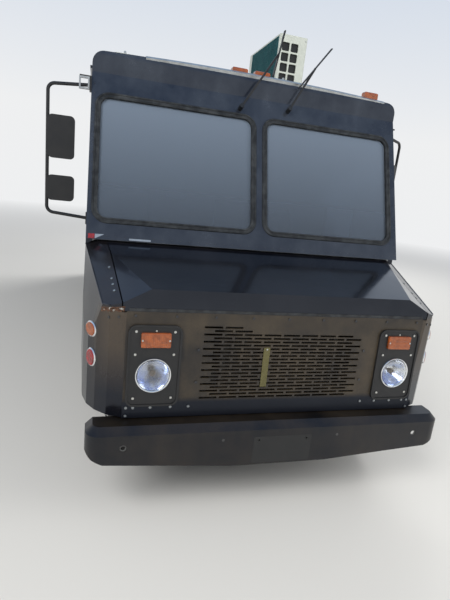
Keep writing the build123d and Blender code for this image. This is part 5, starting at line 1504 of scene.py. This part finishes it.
    def headlamps(self) -> None:
        """Sealed beams: trim ring, prismed lens, bright bowl and bulb shield."""
        rings, lenses, bowls, shields = Shape(), Shape(), Shape(), Shape()
        out = FACE.out()
        r, clear = self.ring_r, self.lens_r
        ring = [
            (r - 0.011, -0.002), (r, -0.002), (r, 0.005), (r - 0.003, 0.0095), (r - 0.007, 0.010),
            (r - 0.011, 0.007),
        ]
        dome = [
            (clear * s, self.lens_foot + self.lens_rise * math.sqrt(1 - (s * 0.985) ** 2) ** 0.9)
            for s in (1, 0.97, 0.9, 0.8, 0.65, 0.5, 0.33, 0.16, 0)
        ]
        back = [(max(radius - 0.003, 0), height - 0.004) for radius, height in reversed(dome)]
        inside = [
            ((clear - 0.004) * s, -self.bowl_depth * (1 - s * s))
            for s in (0.98, 0.85, 0.7, 0.55, 0.4, 0.25, 0.12, 0)
        ]
        bowl = [(clear - 0.001, 0.001), *inside, (0, -0.086), (clear * 0.6, -0.062), (clear, -0.012)]
        shield = [(0, -0.026), (0.017, -0.029), (0.017, -0.044), (0.006, -0.070), (0, -0.070)]
        for side, _ in SIDES:
            seat = FACE.at(side * self.lamp[0], self.lamp[1], self.bezel_t)
            rings.lathe(ring, seat, out, 64, closed=True)
            lenses.lathe(dome + back, seat, out, 64, closed=True)
            bowls.lathe(bowl, seat, out, 64, closed=True)
            shields.lathe(shield, seat, out, 24)
        piece = rings.piece("headlamp_rings", CHROME, "lamp_glass")
        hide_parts("headlamps")
        lenses.piece("headlamp_lenses", LAMP_GLASS, "lamp_glass")
        bowls.piece("headlamp_bowls", REFLECTOR, "lamp_glass", crease=60)
        shields.piece("bulb_shields", BULB_CAP, "lamp_glass")

    def grille_prop(self) -> None:
        """Slim olive bar across the slots right of the middle."""
        bar = FACE.tile(rectangle(*self.bar), 0.003)
        bar.piece("grille_bar", OLIVE_PRIMER, "black_paint")
        spots = [(FACE.at(-0.116, 0.993, 0.003), FACE.out())]
        fasteners("grille_bar_screw", spots, 5, 3, Head.SCREW, ZINC)

    def bumper_fittings(self) -> None:
        """Flush bumper bolts, blank backing of the licence plate and grommets in the two holes."""
        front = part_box("front_bumper")[0].y
        out = Vector((0, -1, 0))
        bolts = [(Vector((side * self.bumper_bolt[0], front, self.bumper_bolt[1])), out) for side, _ in SIDES]
        fasteners("bumper_bolts", bolts, 9, self.flush / MM, Head.SCREW)
        backing, grommets = Shape(), Shape()
        centre = Vector((self.plate[0], front, self.plate[1]))
        backing.prism(placed(centre, facing(out), rounded(0.364, 0.168, 0.012, 4)), out * self.flush)
        backing.piece("plate_backing", BLACK_POLYPROPYLENE, "black_plastic")
        screws = [(centre + Vector((dx, 0, 0.062)), out) for dx in (-0.150, 0.150)]
        fasteners("plate_screws", screws, 5, self.flush / MM, Head.SCREW, ZINC)
        for side, _ in SIDES:
            seat = Vector((side * self.grommet[0], front + 0.008, self.grommet[1]))
            grommets.lathe(self.grommet_section, seat, out, 32, closed=True)
        grommets.piece("bumper_grommets", GREY_RUBBER, "black_plastic")

    def build(self) -> None:
        """Dress the nose."""
        paint_nodes(SATIN_POWDER, "lamp_bezels")
        self.fasten()
        self.edges()
        self.rust()
        self.headlamps()
        self.grille_prop()
        self.bumper_fittings()


@dataclass
class Glazing:
    """Windows with their rubber channels, and the wipers; sizes in metres."""

    panes: tuple[Pair, ...] = ((-1.108, -0.017), (0.050, 1.090))
    pane_z: Pair = (1.575, 2.375)
    corner_r: float = 0.080
    cab_corner_r: float = 0.052
    rear_corner_r: float = 0.042
    rear_door_t: float = 0.040
    slim: float = 0.7
    bead: tuple[Pair, ...] = (
        (-0.020, -0.014), (-0.020, 0.003), (-0.016, 0.006), (-0.010, 0.006), (-0.006, 0.003), (0.003, 0.003),
        (0.006, 0.007), (0.013, 0.007), (0.017, 0.003), (0.017, -0.001),
    )

    def windshield(self) -> None:
        """Rubber channel round each windshield pane."""
        rubber = Shape()
        lean = math.hypot(1, CAP.slope)
        low_z, high_z = self.pane_z
        for low_x, high_x in self.panes:
            centre = CAP.at((low_x + high_x) / 2, (low_z + high_z) / 2)
            outline = rounded(high_x - low_x - 0.012, (high_z - low_z) * lean - 0.012, self.corner_r, 10)
            rubber.band(centre, facing(CAP.out()), outline, self.bead)
        rubber.piece("windshield_rubber", GLAZING_RUBBER, "black_plastic")

    def door_rubber(self, kind: str, word: str, axis: int, faces: Sequence[float], corner_r: float) -> None:
        """Run slim rubber channels round a door's window, outside and inside.

        Args:
            kind: Door's kind in the nodes' names.
            word: Side in the nodes' names.
            axis: Axis that the door faces along.
            faces: Where its two faces stand on that axis, the positive one first.
            corner_r: Radius of the window's corners.
        """
        low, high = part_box(f"{kind}_glass_{word}")
        across = 1 - axis
        outline = rounded(high[across] - low[across] + 0.006, high.z - low.z + 0.006, corner_r, 6)
        section = [(a * self.slim, b * self.slim) for a, b in self.bead]
        rubber = Shape()
        for face, way in zip(faces, (1, -1)):
            centre, out = (low + high) / 2, Vector((0, 0, 0))
            centre[axis], out[axis] = face, way
            rubber.band(centre, facing(out), outline, section)
        rubber.piece(f"{kind}_door_rubber_{word}", GLAZING_RUBBER, "black_plastic", f"{kind}_door_{word}")

    def build(self) -> None:
        """Dress the glass, the rubber and the wipers."""
        paint_nodes(WINDSHIELD_GLASS, "windshields")
        paint_nodes(DOOR_GLASS, "cab_glass_left", "cab_glass_right", "rear_glass_left", "rear_glass_right")
        paint_nodes(SATIN_POWDER, "wipers")
        self.windshield()
        for _, word in SIDES:
            low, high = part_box(f"cab_door_{word}")
            self.door_rubber("cab", word, 0, (high.x, low.x), self.cab_corner_r)
            self.door_rubber(
                "rear", word, 1, (REAR_DOOR_Y, REAR_DOOR_Y - self.rear_door_t), self.rear_corner_r,
            )


@dataclass
class RoofGear:
    """Roof lamps, condenser and kitchen vent; sizes in metres."""

    lamp_xs: tuple[float, ...] = (-0.140, 0.030, 0.935)
    bare_xs: tuple[float, ...] = (-0.940, 0.200)
    lamp_y: float = FACE_Y + 1.130
    socket_section: tuple[Pair, ...] = ((0, 0.022), (0.007, 0.020), (0.009, 0.012), (0.009, 0), (0, 0))
    fins: int = 84
    fin_start: float = 0.03
    # Screws of the condenser's front and its left side: X, Y and the lower row's height
    front_screw_xs: tuple[float, ...] = (0.49, 0.725)
    front_screw_y: float = FACE_Y + 2.05
    side_screw_x: float = 0.745
    side_screw_ys: tuple[float, ...] = (FACE_Y + 2.08, FACE_Y + 2.91)
    low_screw_z: float = 2.76
    vent: Pair = (-0.450, FACE_Y + 4.300)
    vent_half_w: float = 0.230
    vent_rivets: int = 7
    vent_rivet_pitch: float = 0.065
    vent_rivet_z: float = 2.735

    def lamp_bases(self) -> None:
        """Cast bases under the roof lamps, two of them without a lens."""
        bases, sockets = Shape(), Shape()
        up = Vector((0, 0, 1))
        for x in self.lamp_xs + self.bare_xs:
            centre = Vector((x, self.lamp_y, crown_z(x) - 0.004))
            outline = placed(centre, Matrix.Identity(3), rounded(0.130, 0.056, 0.020, 5))
            bases.prism(outline, up * 0.010)
        for x in self.bare_xs:
            sockets.lathe(self.socket_section, Vector((x, self.lamp_y, crown_z(x) + 0.006)), up, 16)
        bases.piece("roof_lamp_bases", CASING_WHITE, "casing_white")
        sockets.piece("roof_lamp_sockets", ZINC, "stainless")

    def condenser(self) -> None:
        """Guard and fins of the coil, and the casing's screws."""
        low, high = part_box("condenser_coil")
        case_low, case_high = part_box("condenser_case")
        paint_nodes(CASING_WHITE, "condenser_case")
        paint_nodes(FIN_COATING, "condenser_coil")
        paint_nodes(BLACK_POLYPROPYLENE, "condenser_fan")
        guard = Shape()
        guard.box((low.x + 0.004, case_low.y + 0.016, low.z), (high.x, case_low.y + 0.018, high.z - 0.004))
        guard.piece("condenser_guard", BLACK_POLYPROPYLENE, "black_plastic")
        pitch = (high.y - low.y - self.fin_start) / self.fins
        plates(
            "coil_fins", self.fins, (low.x - 0.002, low.y + self.fin_start, (low.z + high.z) / 2),
            (0, pitch, 0), (0.006, 0.0016, high.z - low.z - 0.006), FIN_COATING,
        )
        spots: Spots = []
        for z in (case_high.z - 0.03, self.low_screw_z):
            spots += [(Vector((x, self.front_screw_y, z)), Vector((0, -1, 0))) for x in self.front_screw_xs]
            spots += [(Vector((self.side_screw_x, y, z)), Vector((1, 0, 0))) for y in self.side_screw_ys]
        fasteners("condenser_screws", spots, 5, 2.5, Head.SCREW, ZINC)

    def kitchen_vent(self) -> None:
        """Kitchen exhaust finish and its curb's rivets."""
        paint_nodes(GALVANISED, "exhaust_vent")
        middle_x, middle_y = self.vent
        spots: Spots = []
        for i in range(self.vent_rivets):
            shift = self.vent_rivet_pitch * (i - (self.vent_rivets - 1) / 2)
            for way_x, way_y in ((0, -1), (0, 1), (-1, 0), (1, 0)):
                x = middle_x + (way_x * self.vent_half_w if way_x else shift)
                y = middle_y + (way_y * self.vent_half_w if way_y else shift)
                spots.append((Vector((x, y, self.vent_rivet_z)), Vector((way_x, way_y, 0))))
        fasteners("vent_rivets", spots, 4, 2, Head.RIVET, GALVANISED)

    def build(self) -> None:
        """Dress everything on the roof."""
        self.lamp_bases()
        self.condenser()
        self.kitchen_vent()


@dataclass
class Wheels:
    """Tyres with moulded tread round the CAD rims; sizes in metres, X from a tyre's middle."""

    radius: float = 0.386
    half_w: float = 0.108
    groove: float = 0.009
    pitches: int = 54
    bead_x: float = 0.082
    bead_r: float = 0.2033
    flat_x: float = 0.074
    shoulder_x: float = 0.098
    # Inner edge, outer edge, and slant across the rib as a share of a pitch
    ribs: tuple[Triple, ...] = (
        (-0.094, -0.058, 0.18), (-0.049, -0.019, -0.22), (-0.011, 0.011, 0.20), (0.019, 0.049, -0.22),
        (0.058, 0.094, 0.18),
    )
    # Where a block starts and ends, and how far its foot spreads, as shares of a pitch
    block: Pair = (0.08, 0.90)
    spread: float = 0.02
    front_x: float = 0.860
    rear_x: float = 0.850
    dual_x: float = 0.127

    def crown(self, x: float) -> float:
        """Find the radius of the tread's running surface.

        Args:
            x: Distance from the tyre's middle.

        Returns:
            The radius.
        """
        if abs(x) <= self.flat_x:
            return self.radius - 0.001 * (x / self.flat_x) ** 2
        past = (abs(x) - self.flat_x) / (self.shoulder_x - self.flat_x)
        return self.radius - 0.001 - 0.023 * past ** 2

    def carcass(self) -> list[Pair]:
        """Draw the tyre's section under its tread blocks.

        Returns:
            X and radius of each point, from one bead to the other.
        """
        side = [
            (self.bead_x, self.bead_r), (self.bead_x, 0.222), (self.bead_x + 0.009, 0.224), (0.098, 0.238),
            (0.104, 0.262), (self.half_w, 0.292), (0.1075, 0.318), (0.105, 0.338), (0.103, 0.350),
            (0.098, 0.3555),
        ]
        base = [(x, self.crown(x) - self.groove) for x in (0.086, 0.060, 0.030)]
        right = side + base
        return right + [(0.0, self.crown(0) - self.groove)] + [(-x, r) for x, r in reversed(right)]

    def at(self, x: float, r: float, share: float) -> Vector:
        """Point at a width, a radius and a share of one pitch."""
        angle = share * (2 * math.pi / self.pitches)
        return Vector((x, r * math.sin(angle), r * math.cos(angle)))

    def pitch_shape(self) -> Shape:
        """Shape one pitch of the tyre: a slice of carcass with its blocks.

        Returns:
            The pitch, round an axis through the origin.
        """
        shape = Shape()
        profile = self.carcass()
        shape.grid([[self.at(x, r, share) for x, r in profile] for share in (0.0, 1.0)], wrap_columns=True)
        start, end = self.block
        for low, high, slant in self.ribs:
            rows = []
            for x in (low + (high - low) * i / 3 for i in range(4)):
                skew = slant * (x - low) / (high - low)
                top, foot = self.crown(x), self.crown(x) - self.groove - 0.003
                rows.append([
                    self.at(x, foot, start + skew - self.spread), self.at(x, top, start + skew),
                    self.at(x, top, end + skew), self.at(x, foot, end + skew + self.spread),
                ])
            shape.loft(rows)
        return shape

    def tyre(self, name: str, node: str, body: str, centre_xs: Sequence[float], centre_y: float) -> None:
        """Turn the pitch round each wheel and stand it for the CAD tyre.

        Args:
            name: Name of the piece.
            node: CAD node that it replaces.
            body: CAD body that it moves with.
            centre_xs: X of each tyre's middle.
            centre_y: Y of the axle.
        """
        joined = bmesh.new()
        for centre_x in centre_xs:
            seed = new_object("seed", self.pitch_shape().mesh("pitch", 30))
            joined.from_mesh(baked(seed, ring_tree(), {
                "Count": self.pitches, "Centre": (centre_x, centre_y, self.radius),
                "Material": TYRE_RUBBER.material(),
            }, name))
        bmesh.ops.recalc_face_normals(joined, faces=joined.faces)
        final = bpy.data.meshes.new(name)
        joined.to_mesh(final)
        joined.free()
        final.shade_smooth()
        final.set_sharp_from_angle(angle=math.radians(32))
        piece = place_piece(final, name, TYRE_RUBBER, body)
        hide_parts(node)

    def build(self) -> None:
        """Dress the rims, knuckles and tyres."""
        paint_nodes(WHEEL_ENAMEL, "front_rim_left", "front_rim_right", "rear_rims_left", "rear_rims_right")
        paint_nodes(CAST_IRON, "knuckle_left", "knuckle_right")
        for side, word in SIDES:
            single = (side * self.front_x,)
            self.tyre(
                f"front_tread_{word}", f"front_tyre_{word}", f"front_wheel_{word}", single, FRONT_AXLE_Y,
            )
            pair = (side * (self.rear_x - self.dual_x), side * (self.rear_x + self.dual_x))
            self.tyre(f"rear_tread_{word}", f"rear_tyres_{word}", f"rear_wheels_{word}", pair, REAR_AXLE_Y)


@dataclass
class Cab:
    """Driver's place and mirrors; sizes in metres."""

    wheel_x: float = 0.550
    dial_y: float = FACE_Y + 1.032
    dial_z: float = 1.390
    # Shift from the steering wheel towards the middle, and radius
    dials: tuple[Pair, ...] = ((-0.085, 0.048), (0.055, 0.060), (0.145, 0.026))
    # Depth and rise of the cushion, and front, back and foot of the backrest, from the pads' low corner
    cushion: Pair = (0.330, 0.110)
    backrest: Triple = (0.345, 0.445, 0.010)
    pad_swell: float = 0.012
    channels: int = 4
    channel_depth: float = 0.007
    channel_w: float = 0.007
    # Station, swing in degrees and half width to its end, for the left and the right mirror
    mirror_arms: tuple[Triple, ...] = ((1.150, 30.0, 1.451), (1.050, 0.0, 1.410))
    # Width, lowest and highest point of each head
    mirror_heads: tuple[Triple, ...] = ((0.166, 1.936, 2.207), (0.170, 1.661, 1.827))
    # How far the glass stands back from the arm, what a head's rim takes of it, its corners and thickness
    glass_back: float = 0.027
    glass_rim: float = 0.012
    glass_r: float = 0.022
    glass_t: float = 0.0025
    # Distance from the body's side and height of a stay's loop, and half its depth
    stay_x: Pair = (0.013, 0.078)
    stay_z: Pair = (2.386, 2.462)
    stay_t: float = 0.010
    stay_half_d: float = 0.0145

    def gauges(self) -> None:
        """Round dials with ticks in the instrument housing."""
        rings, dials, ticks = Shape(), Shape(), Shape()
        out = Vector((0, 1, 0))
        turn = facing(out)
        for dx, r in self.dials:
            centre = Vector((self.wheel_x - dx, self.dial_y, self.dial_z))
            section = [(r - 0.005, 0), (r, 0), (r, 0.005), (r - 0.003, 0.007), (r - 0.005, 0.005)]
            rings.lathe(section, centre, out, 40, closed=True)
            dials.lathe([(r - 0.004, 0), (r - 0.004, 0.002), (0, 0.002)], centre, out, 40)
            for i in range(13):
                angle = math.radians(-45 + 270 * i / 12)
                ray = turn @ Vector((math.cos(angle), math.sin(angle), 0))
                side = turn @ Vector((-math.sin(angle), math.cos(angle), 0))
                mid = centre + ray * (r * 0.76) + out * 0.002
                mark = rectangle(-0.005, -0.0008, 0.005, 0.0008)
                ticks.prism([mid + ray * a + side * b for a, b in mark], out * 0.0006)
        rings.piece("gauge_rings", CHROME, "lamp_glass")
        dials.piece("gauge_dials", BLACK_POLYPROPYLENE, "black_plastic")
        ticks.piece("gauge_ticks", CASING_WHITE, "casing_white")

    def press_out(self, pad: Object) -> None:
        """Swell a pad's cover by cloth pressure from inside.

        Args:
            pad: Closed cloth form, which gets the swollen mesh.
        """
        cloth = pad.modifiers.new("pressed_out", "CLOTH")
        cloth.settings.use_pressure = True
        cloth.settings.uniform_pressure_force = 4.0
        cloth.settings.effector_weights.gravity = 0.0
        cloth.settings.quality = 5
        for step in range(1, 21):
            bpy.context.scene.frame_set(step)
        swollen = evaluated(pad)
        pad.modifiers.clear()
        pad.data = swollen
        bpy.context.scene.frame_set(1)

    def pad(self, name: str, low: Vector, high: Vector, out_axis: int) -> Object:
        """Upholster one pad: a crowned cloth form with channels sewn across its width.

        Args:
            name: Name of the piece.
            low: Lowest corner of the pad's space.
            high: Highest corner of the pad's space.
            out_axis: Axis of the pad's thickness.

        Returns:
            The finished cushion.
        """
        margin = self.pad_swell
        inset = Vector((margin, margin, margin))
        a, b = low + inset, high - inset
        room = Shape()
        room.box(a, b)
        pad = new_object(name, room.mesh(name))
        remesh = pad.modifiers.new("cloth_grid", "REMESH")
        remesh.mode = "VOXEL"
        remesh.voxel_size = 0.012
        pad.data = evaluated(pad)
        pad.modifiers.clear()
        rest = [vertex.co.copy() for vertex in pad.data.vertices]
        self.press_out(pad)
        span, middle = b.x - a.x, (a[out_axis] + b[out_axis]) / 2
        for vertex, home in zip(pad.data.vertices, rest):
            move = vertex.co - home
            if move.length > margin:
                vertex.co = home + move * (margin / move.length)
            share = (vertex.co.x - a.x) / span
            seam = round(share * self.channels)
            if 0 < seam < self.channels and home[out_axis] > middle:
                gap = (share * self.channels - seam) * span / self.channels
                vertex.co[out_axis] -= self.channel_depth * math.exp(-(gap / self.channel_w) ** 2)
            for axis in range(3):
                vertex.co[axis] = min(max(vertex.co[axis], low[axis] + 0.0005), high[axis] - 0.0005)
        smooth = pad.modifiers.new("softened", "SUBSURF")
        smooth.levels = 1
        smooth.render_levels = 1
        finished = evaluated(pad)
        bpy.data.objects.remove(pad)
        finished.shade_smooth()
        piece = place_piece(finished, name, SEAT_VINYL)
        return piece

    def seat(self) -> None:
        """Upholster the driver's seat."""
        low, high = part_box("seat_pads")
        depth, rise = self.cushion
        cushion = self.pad("seat_cushion", low, Vector((high.x, low.y + depth, low.z + rise)), 2)
        front, back, foot = self.backrest
        back_low = Vector((low.x, low.y + front, low.z + foot))
        self.pad("seat_back", back_low, Vector((high.x, low.y + back, high.z)), 1)
        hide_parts("seat_pads")

    def mirrors(self) -> None:
        """Mirror glass in the heads, and stays on the arms."""
        paint_nodes(SATIN_POWDER, "mirror_left", "mirror_right")
        for (side, word), (station, swing, end) in zip(SIDES, self.mirror_arms):
            pivot = Vector((side * BODY_HALF_W, FACE_Y + station, 0))
            turn = Matrix.Rotation(math.radians(side * swing), 3, "Z")
            back_y, outer = pivot.y + self.glass_back, end - 0.002
            glass = Shape()
            for width, low_z, high_z in self.mirror_heads:
                centre = Vector((side * (outer - width / 2), back_y, (low_z + high_z) / 2))
                rim, height = self.glass_rim, high_z - low_z
                outline = rounded(width - rim, height - rim, self.glass_r, 6)
                corners = [turned(centre + Vector((u, 0, v)), pivot, turn) for u, v in outline]
                glass.prism(corners, turn @ Vector((0, self.glass_t, 0)))
            glass.piece(f"mirror_glass_{word}", MIRROR_GLASS, "satin_black")
            stay = Shape()
            near, far = BODY_HALF_W + self.stay_x[0], BODY_HALF_W + self.stay_x[1]
            (low_z, high_z), t = self.stay_z, self.stay_t
            for x0, x1, z0, z1 in (
                (near, far, high_z - t, high_z), (near, far, low_z, low_z + t),
                (near, near + t, low_z + t, high_z - t), (far - t, far, low_z + t, high_z - t),
            ):
                foot = rectangle(x0, -self.stay_half_d, x1, self.stay_half_d)
                corners = [Vector((side * x, pivot.y + dy, z0)) for x, dy in foot]
                stay.prism([turned(corner, pivot, turn) for corner in corners], Vector((0, 0, z1 - z0)))
            stay.piece(f"mirror_stay_{word}", ALUMINIUM_TRIM, "galvanised")

    def build(self) -> None:
        """Dress the cab."""
        paint_nodes(DASH_ABS, "dashboard", "engine_cover")
        paint_nodes(TREAD_PLATE, "floor_panel")
        paint_nodes(BLACK_POLYPROPYLENE, "steering_wheel")
        paint_nodes(SATIN_POWDER, "seat_frame")
        self.gauges()
        self.seat()
        self.mirrors()


@dataclass
class Doors:
    """Handles, latches and frames of the doors and the serving hatch; sizes in metres."""

    pull_in: float = 0.045
    pull_z: float = 1.240
    # Distance out of the door and height from the pull's middle
    grip: tuple[Pair, ...] = ((0.002, -0.066), (0.024, -0.056), (0.028, 0.0), (0.024, 0.056), (0.002, 0.066))
    lever_x: float = 0.075
    lever_z: float = 1.30
    # Distance out of the door and height
    lever: tuple[Pair, ...] = ((0.004, 1.31), (0.030, 1.31), (0.034, 1.24), (0.030, 1.18))
    edging_w: float = 0.030
    edging_t: float = 0.004
    surround_gap: float = 0.008
    surround_t: float = 0.005
    latch_in: float = 0.30

    def cab_handles(self) -> None:
        """Slim pull by the leading edge of each sliding door, which stays in the doorway when it is open."""
        for side, word in SIDES:
            low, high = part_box(f"cab_door_{word}")
            centre = Vector((high.x if side > 0 else low.x, low.y + self.pull_in, self.pull_z))
            out = Vector((side, 0, 0))
            pull = Shape()
            pull.prism(placed(centre, facing(out), rounded(0.024, 0.170, 0.008, 4)), out * 0.003)
            pull.tube([centre + Vector((side * dx, 0, dz)) for dx, dz in self.grip], 0.006, 10)
            pull.piece(f"cab_handle_{word}", CHROME, "stainless", f"cab_door_{word}")

    def rear_handles(self) -> None:
        """Lock plate and lever on the rear doors."""
        handle = Shape()
        outline = rounded(0.055, 0.150, 0.010, 4)
        plate = [Vector((self.lever_x + u, REAR_DOOR_Y, self.lever_z + v)) for u, v in outline]
        handle.prism(plate, Vector((0, 0.004, 0)))
        handle.tube([Vector((self.lever_x, REAR_DOOR_Y + dy, z)) for dy, z in self.lever], 0.007, 10)
        handle.piece("rear_handle", CHROME, "stainless", "rear_door_left")

    def hatch(self) -> None:
        """Edging, latches and surround of the serving hatch."""
        low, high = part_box("service_hatch")
        x = -BODY_HALF_W
        edging, latches, surround = Shape(), Shape(), Shape()
        proud, w, t = x - self.edging_t, self.edging_w, self.edging_t
        edging.box((proud, low.y + t, low.z), (x, high.y - t, low.z + w))
        for y in (low.y + t, high.y - t - w):
            edging.box((proud, y, low.z + w), (x, y + w, high.z - 0.055))
        edging.piece("hatch_edging", ALUMINIUM_TRIM, "stainless", "service_hatch")
        for y in (low.y + self.latch_in, high.y - self.latch_in):
            latches.box((x - 0.010, y - 0.030, low.z + 0.040), (x, y + 0.030, low.z + 0.100))
            hook = ((0.010, 0.070), (0.024, 0.070), (0.026, 0.030))
            latches.tube([Vector((x - dx, y, low.z + dz)) for dx, dz in hook], 0.006, 8)
        latches.piece("hatch_latches", ZINC, "stainless", "service_hatch")
        proud, gap = x - self.surround_t, self.surround_gap
        surround.box((proud, low.y - 0.036, low.z - 0.046), (x, high.y + 0.036, low.z - gap))
        for y0, y1 in ((low.y - 0.042, low.y - gap), (high.y + gap, high.y + 0.042)):
            surround.box((proud, y0, low.z - 0.046), (x, y1, high.z))
        surround.piece("hatch_frame", ALUMINIUM_TRIM, "stainless")

    def build(self) -> None:
        """Dress the doors."""
        self.cab_handles()
        self.rear_handles()
        self.hatch()


@dataclass
class Underbody:
    """Chassis, axles, tank, exhaust and kitchen surfaces; sizes in metres."""

    fins: int = 60
    rail_x: float = 0.430
    bolt_ys: tuple[float, ...] = (
        FACE_Y + 0.10, FACE_Y + 1.85, FACE_Y + 2.70, FACE_Y + 3.91, FACE_Y + 5.47, FACE_Y + 6.31,
    )
    bolt_zs: tuple[float, ...] = (0.59, 0.65)
    bolt_dy: float = 0.025

    def build(self) -> None:
        """Give the rest of the CAD nodes their finishes, and dress the radiator and the frame."""
        paint_nodes(CHASSIS_PAINT, "chassis_frame", "leaf_springs", "front_axle", "rear_axle", "fuel_tank")
        paint_nodes(CAST_IRON, "engine_block", "driveline", "radiator")
        paint_nodes(GALVANISED, "exhaust_pipe")
        paint_nodes(STAINLESS, "kitchen_counters")
        low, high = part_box("radiator")
        pitch = (high.x - low.x - 0.06) / (self.fins - 1)
        plates(
            "radiator_fins", self.fins, (low.x + 0.030, low.y + 0.004, (low.z + high.z) / 2), (pitch, 0, 0),
            (0.002, 0.010, high.z - low.z - 0.10), BLACK_POLYPROPYLENE,
        )
        spots = [
            (Vector((side * self.rail_x, y + dy, z)), Vector((side, 0, 0)))
            for side, _ in SIDES for y in self.bolt_ys for z in self.bolt_zs
            for dy in (-self.bolt_dy, self.bolt_dy)
        ]
        fasteners("frame_bolts", spots, 9, 8, Head.HEX, CHASSIS_PAINT)


@dataclass
class Studio:
    """Pale floor, soft light and the photograph's camera; sizes in metres and degrees."""

    eye: Triple = (-1.089, -5.497, 1.866)
    yaw: float = -16.85
    pitch: float = -13.92
    roll: float = -6.31
    focal_px: float = 451.4
    long_side_px: float = 600.0
    sensor_mm: float = 36.0
    horizon: str = "#f4f5f6"
    zenith: str = "#a9c2e2"
    floor_reach: float = 60.0
    # Name, place, aim, side and power of each soft light
    lamps: tuple[tuple[str, tuple[float, ...], tuple[float, ...], float, float], ...] = (
        ("key", (-5.5, -8.0, 7.0), (0, -2, 1.2), 5.0, 700),
        ("fill", (6.5, -6.5, 4.5), (0, -2, 1.0), 5.0, 300),
        ("rim", (5.0, 6.5, 8.0), (0, 0, 1.5), 6.0, 700),
    )

    def camera(self) -> None:
        """Stand the camera where the photograph was taken from."""
        data = bpy.data.cameras.new("camera")
        data.sensor_width = self.sensor_mm
        data.lens = self.focal_px / self.long_side_px * self.sensor_mm
        data.clip_end = 200
        camera = new_object("camera", data)
        turn = Matrix.Identity(3)
        for degrees, axis in ((self.yaw, "Z"), (self.pitch, "X"), (self.roll, "Y")):
            turn = turn @ Matrix.Rotation(math.radians(degrees), 3, axis)
        right, forward, up = turn.col
        stance = Matrix((right, up, -forward)).transposed()
        camera.matrix_world = Matrix.Translation(self.eye) @ stance.to_4x4()
        bpy.context.scene.camera = camera

    def floor(self) -> None:
        """Lay a pale floor that reaches past the view and fades into the horizon."""
        shape = Shape()
        far = self.floor_reach
        shape.cap([Vector((x, y, 0)) for x, y in rectangle(-far, -far, far, far)])
        mesh = shape.mesh("floor")
        if mesh.polygons[0].normal.z < 0:
            mesh.flip_normals()
        material = bpy.data.materials.new("pale_floor")
        add = fresh(material)
        matt = add("BsdfPrincipled", {"Base Color": linear("#d6d4cf"), "Roughness": 0.9})
        place = add("TexCoord").outputs["Object"]
        length = add("VectorMath", {0: place}, operation="LENGTH").outputs["Value"]
        away = add("MapRange", {"Value": length, "From Min": 6.0, "From Max": 22.0})
        share = add("Math", {0: away, 1: looked_at(add)}, operation="MULTIPLY")
        haze = add("Emission", {"Color": linear(self.horizon), "Strength": 0.95})
        blend = add("MixShader", {0: share, 1: matt, 2: haze})
        add("OutputMaterial", {"Surface": blend})
        mesh.materials.append(material)
        floor = new_object("floor", mesh)

    def world(self) -> None:
        """White surroundings for the eye and for reflections, softer as light."""
        world = bpy.data.worlds.new("studio")
        bpy.context.scene.world = world
        add = fresh(world)
        soft = add("Background", {"Color": linear("#e8ecf2"), "Strength": 0.55})
        around = add("TexCoord").outputs["Generated"]
        height = add("SeparateXYZ", {0: around}).outputs["Z"]
        rise = add("MapRange", {"Value": height, "From Min": 0.12, "From Max": 0.75})
        tone = add("Mix", {"Factor": rise, 6: linear(self.horizon), 7: linear(self.zenith)}, data_type="RGBA")
        white = add("Background", {"Color": tone.outputs[2], "Strength": 0.95})
        mixed = add("MixShader", {0: looked_at(add), 1: soft, 2: white})
        add("OutputWorld", {"Surface": mixed})

    def lamp(
        self, name: str, place: Sequence[float], aim: Sequence[float], size: float, watts: float,
    ) -> None:
        """Hang one square soft light.

        Args:
            name: Name of the light.
            place: Where it hangs.
            aim: Point that it faces.
            size: Side of the square.
            watts: Its power.
        """
        data = bpy.data.lights.new(name, "AREA")
        data.size = size
        data.energy = watts
        light = new_object(name, data)
        back = Vector(place) - Vector(aim)
        light.rotation_mode = "QUATERNION"
        light.rotation_quaternion = back.to_track_quat("Z", "Y")
        light.location = place
        light.visible_glossy = False

    def build(self) -> None:
        """Set the stage."""
        self.floor()
        self.world()
        for lamp in self.lamps:
            self.lamp(*lamp)
        self.camera()
        bpy.context.scene.view_settings.view_transform = "Standard"


def main() -> None:
    """Build every sub-assembly."""
    logging.basicConfig(level=logging.INFO, format="%(name)s: %(message)s")
    for assembly in (
        Studio(), Bodywork(), Nose(), Glazing(), RoofGear(), Wheels(), Cab(), Doors(), Underbody(),
    ):
        assembly.build()
        log.info("%s is dressed", type(assembly).__name__)


if __name__ == "__main__":
    main()
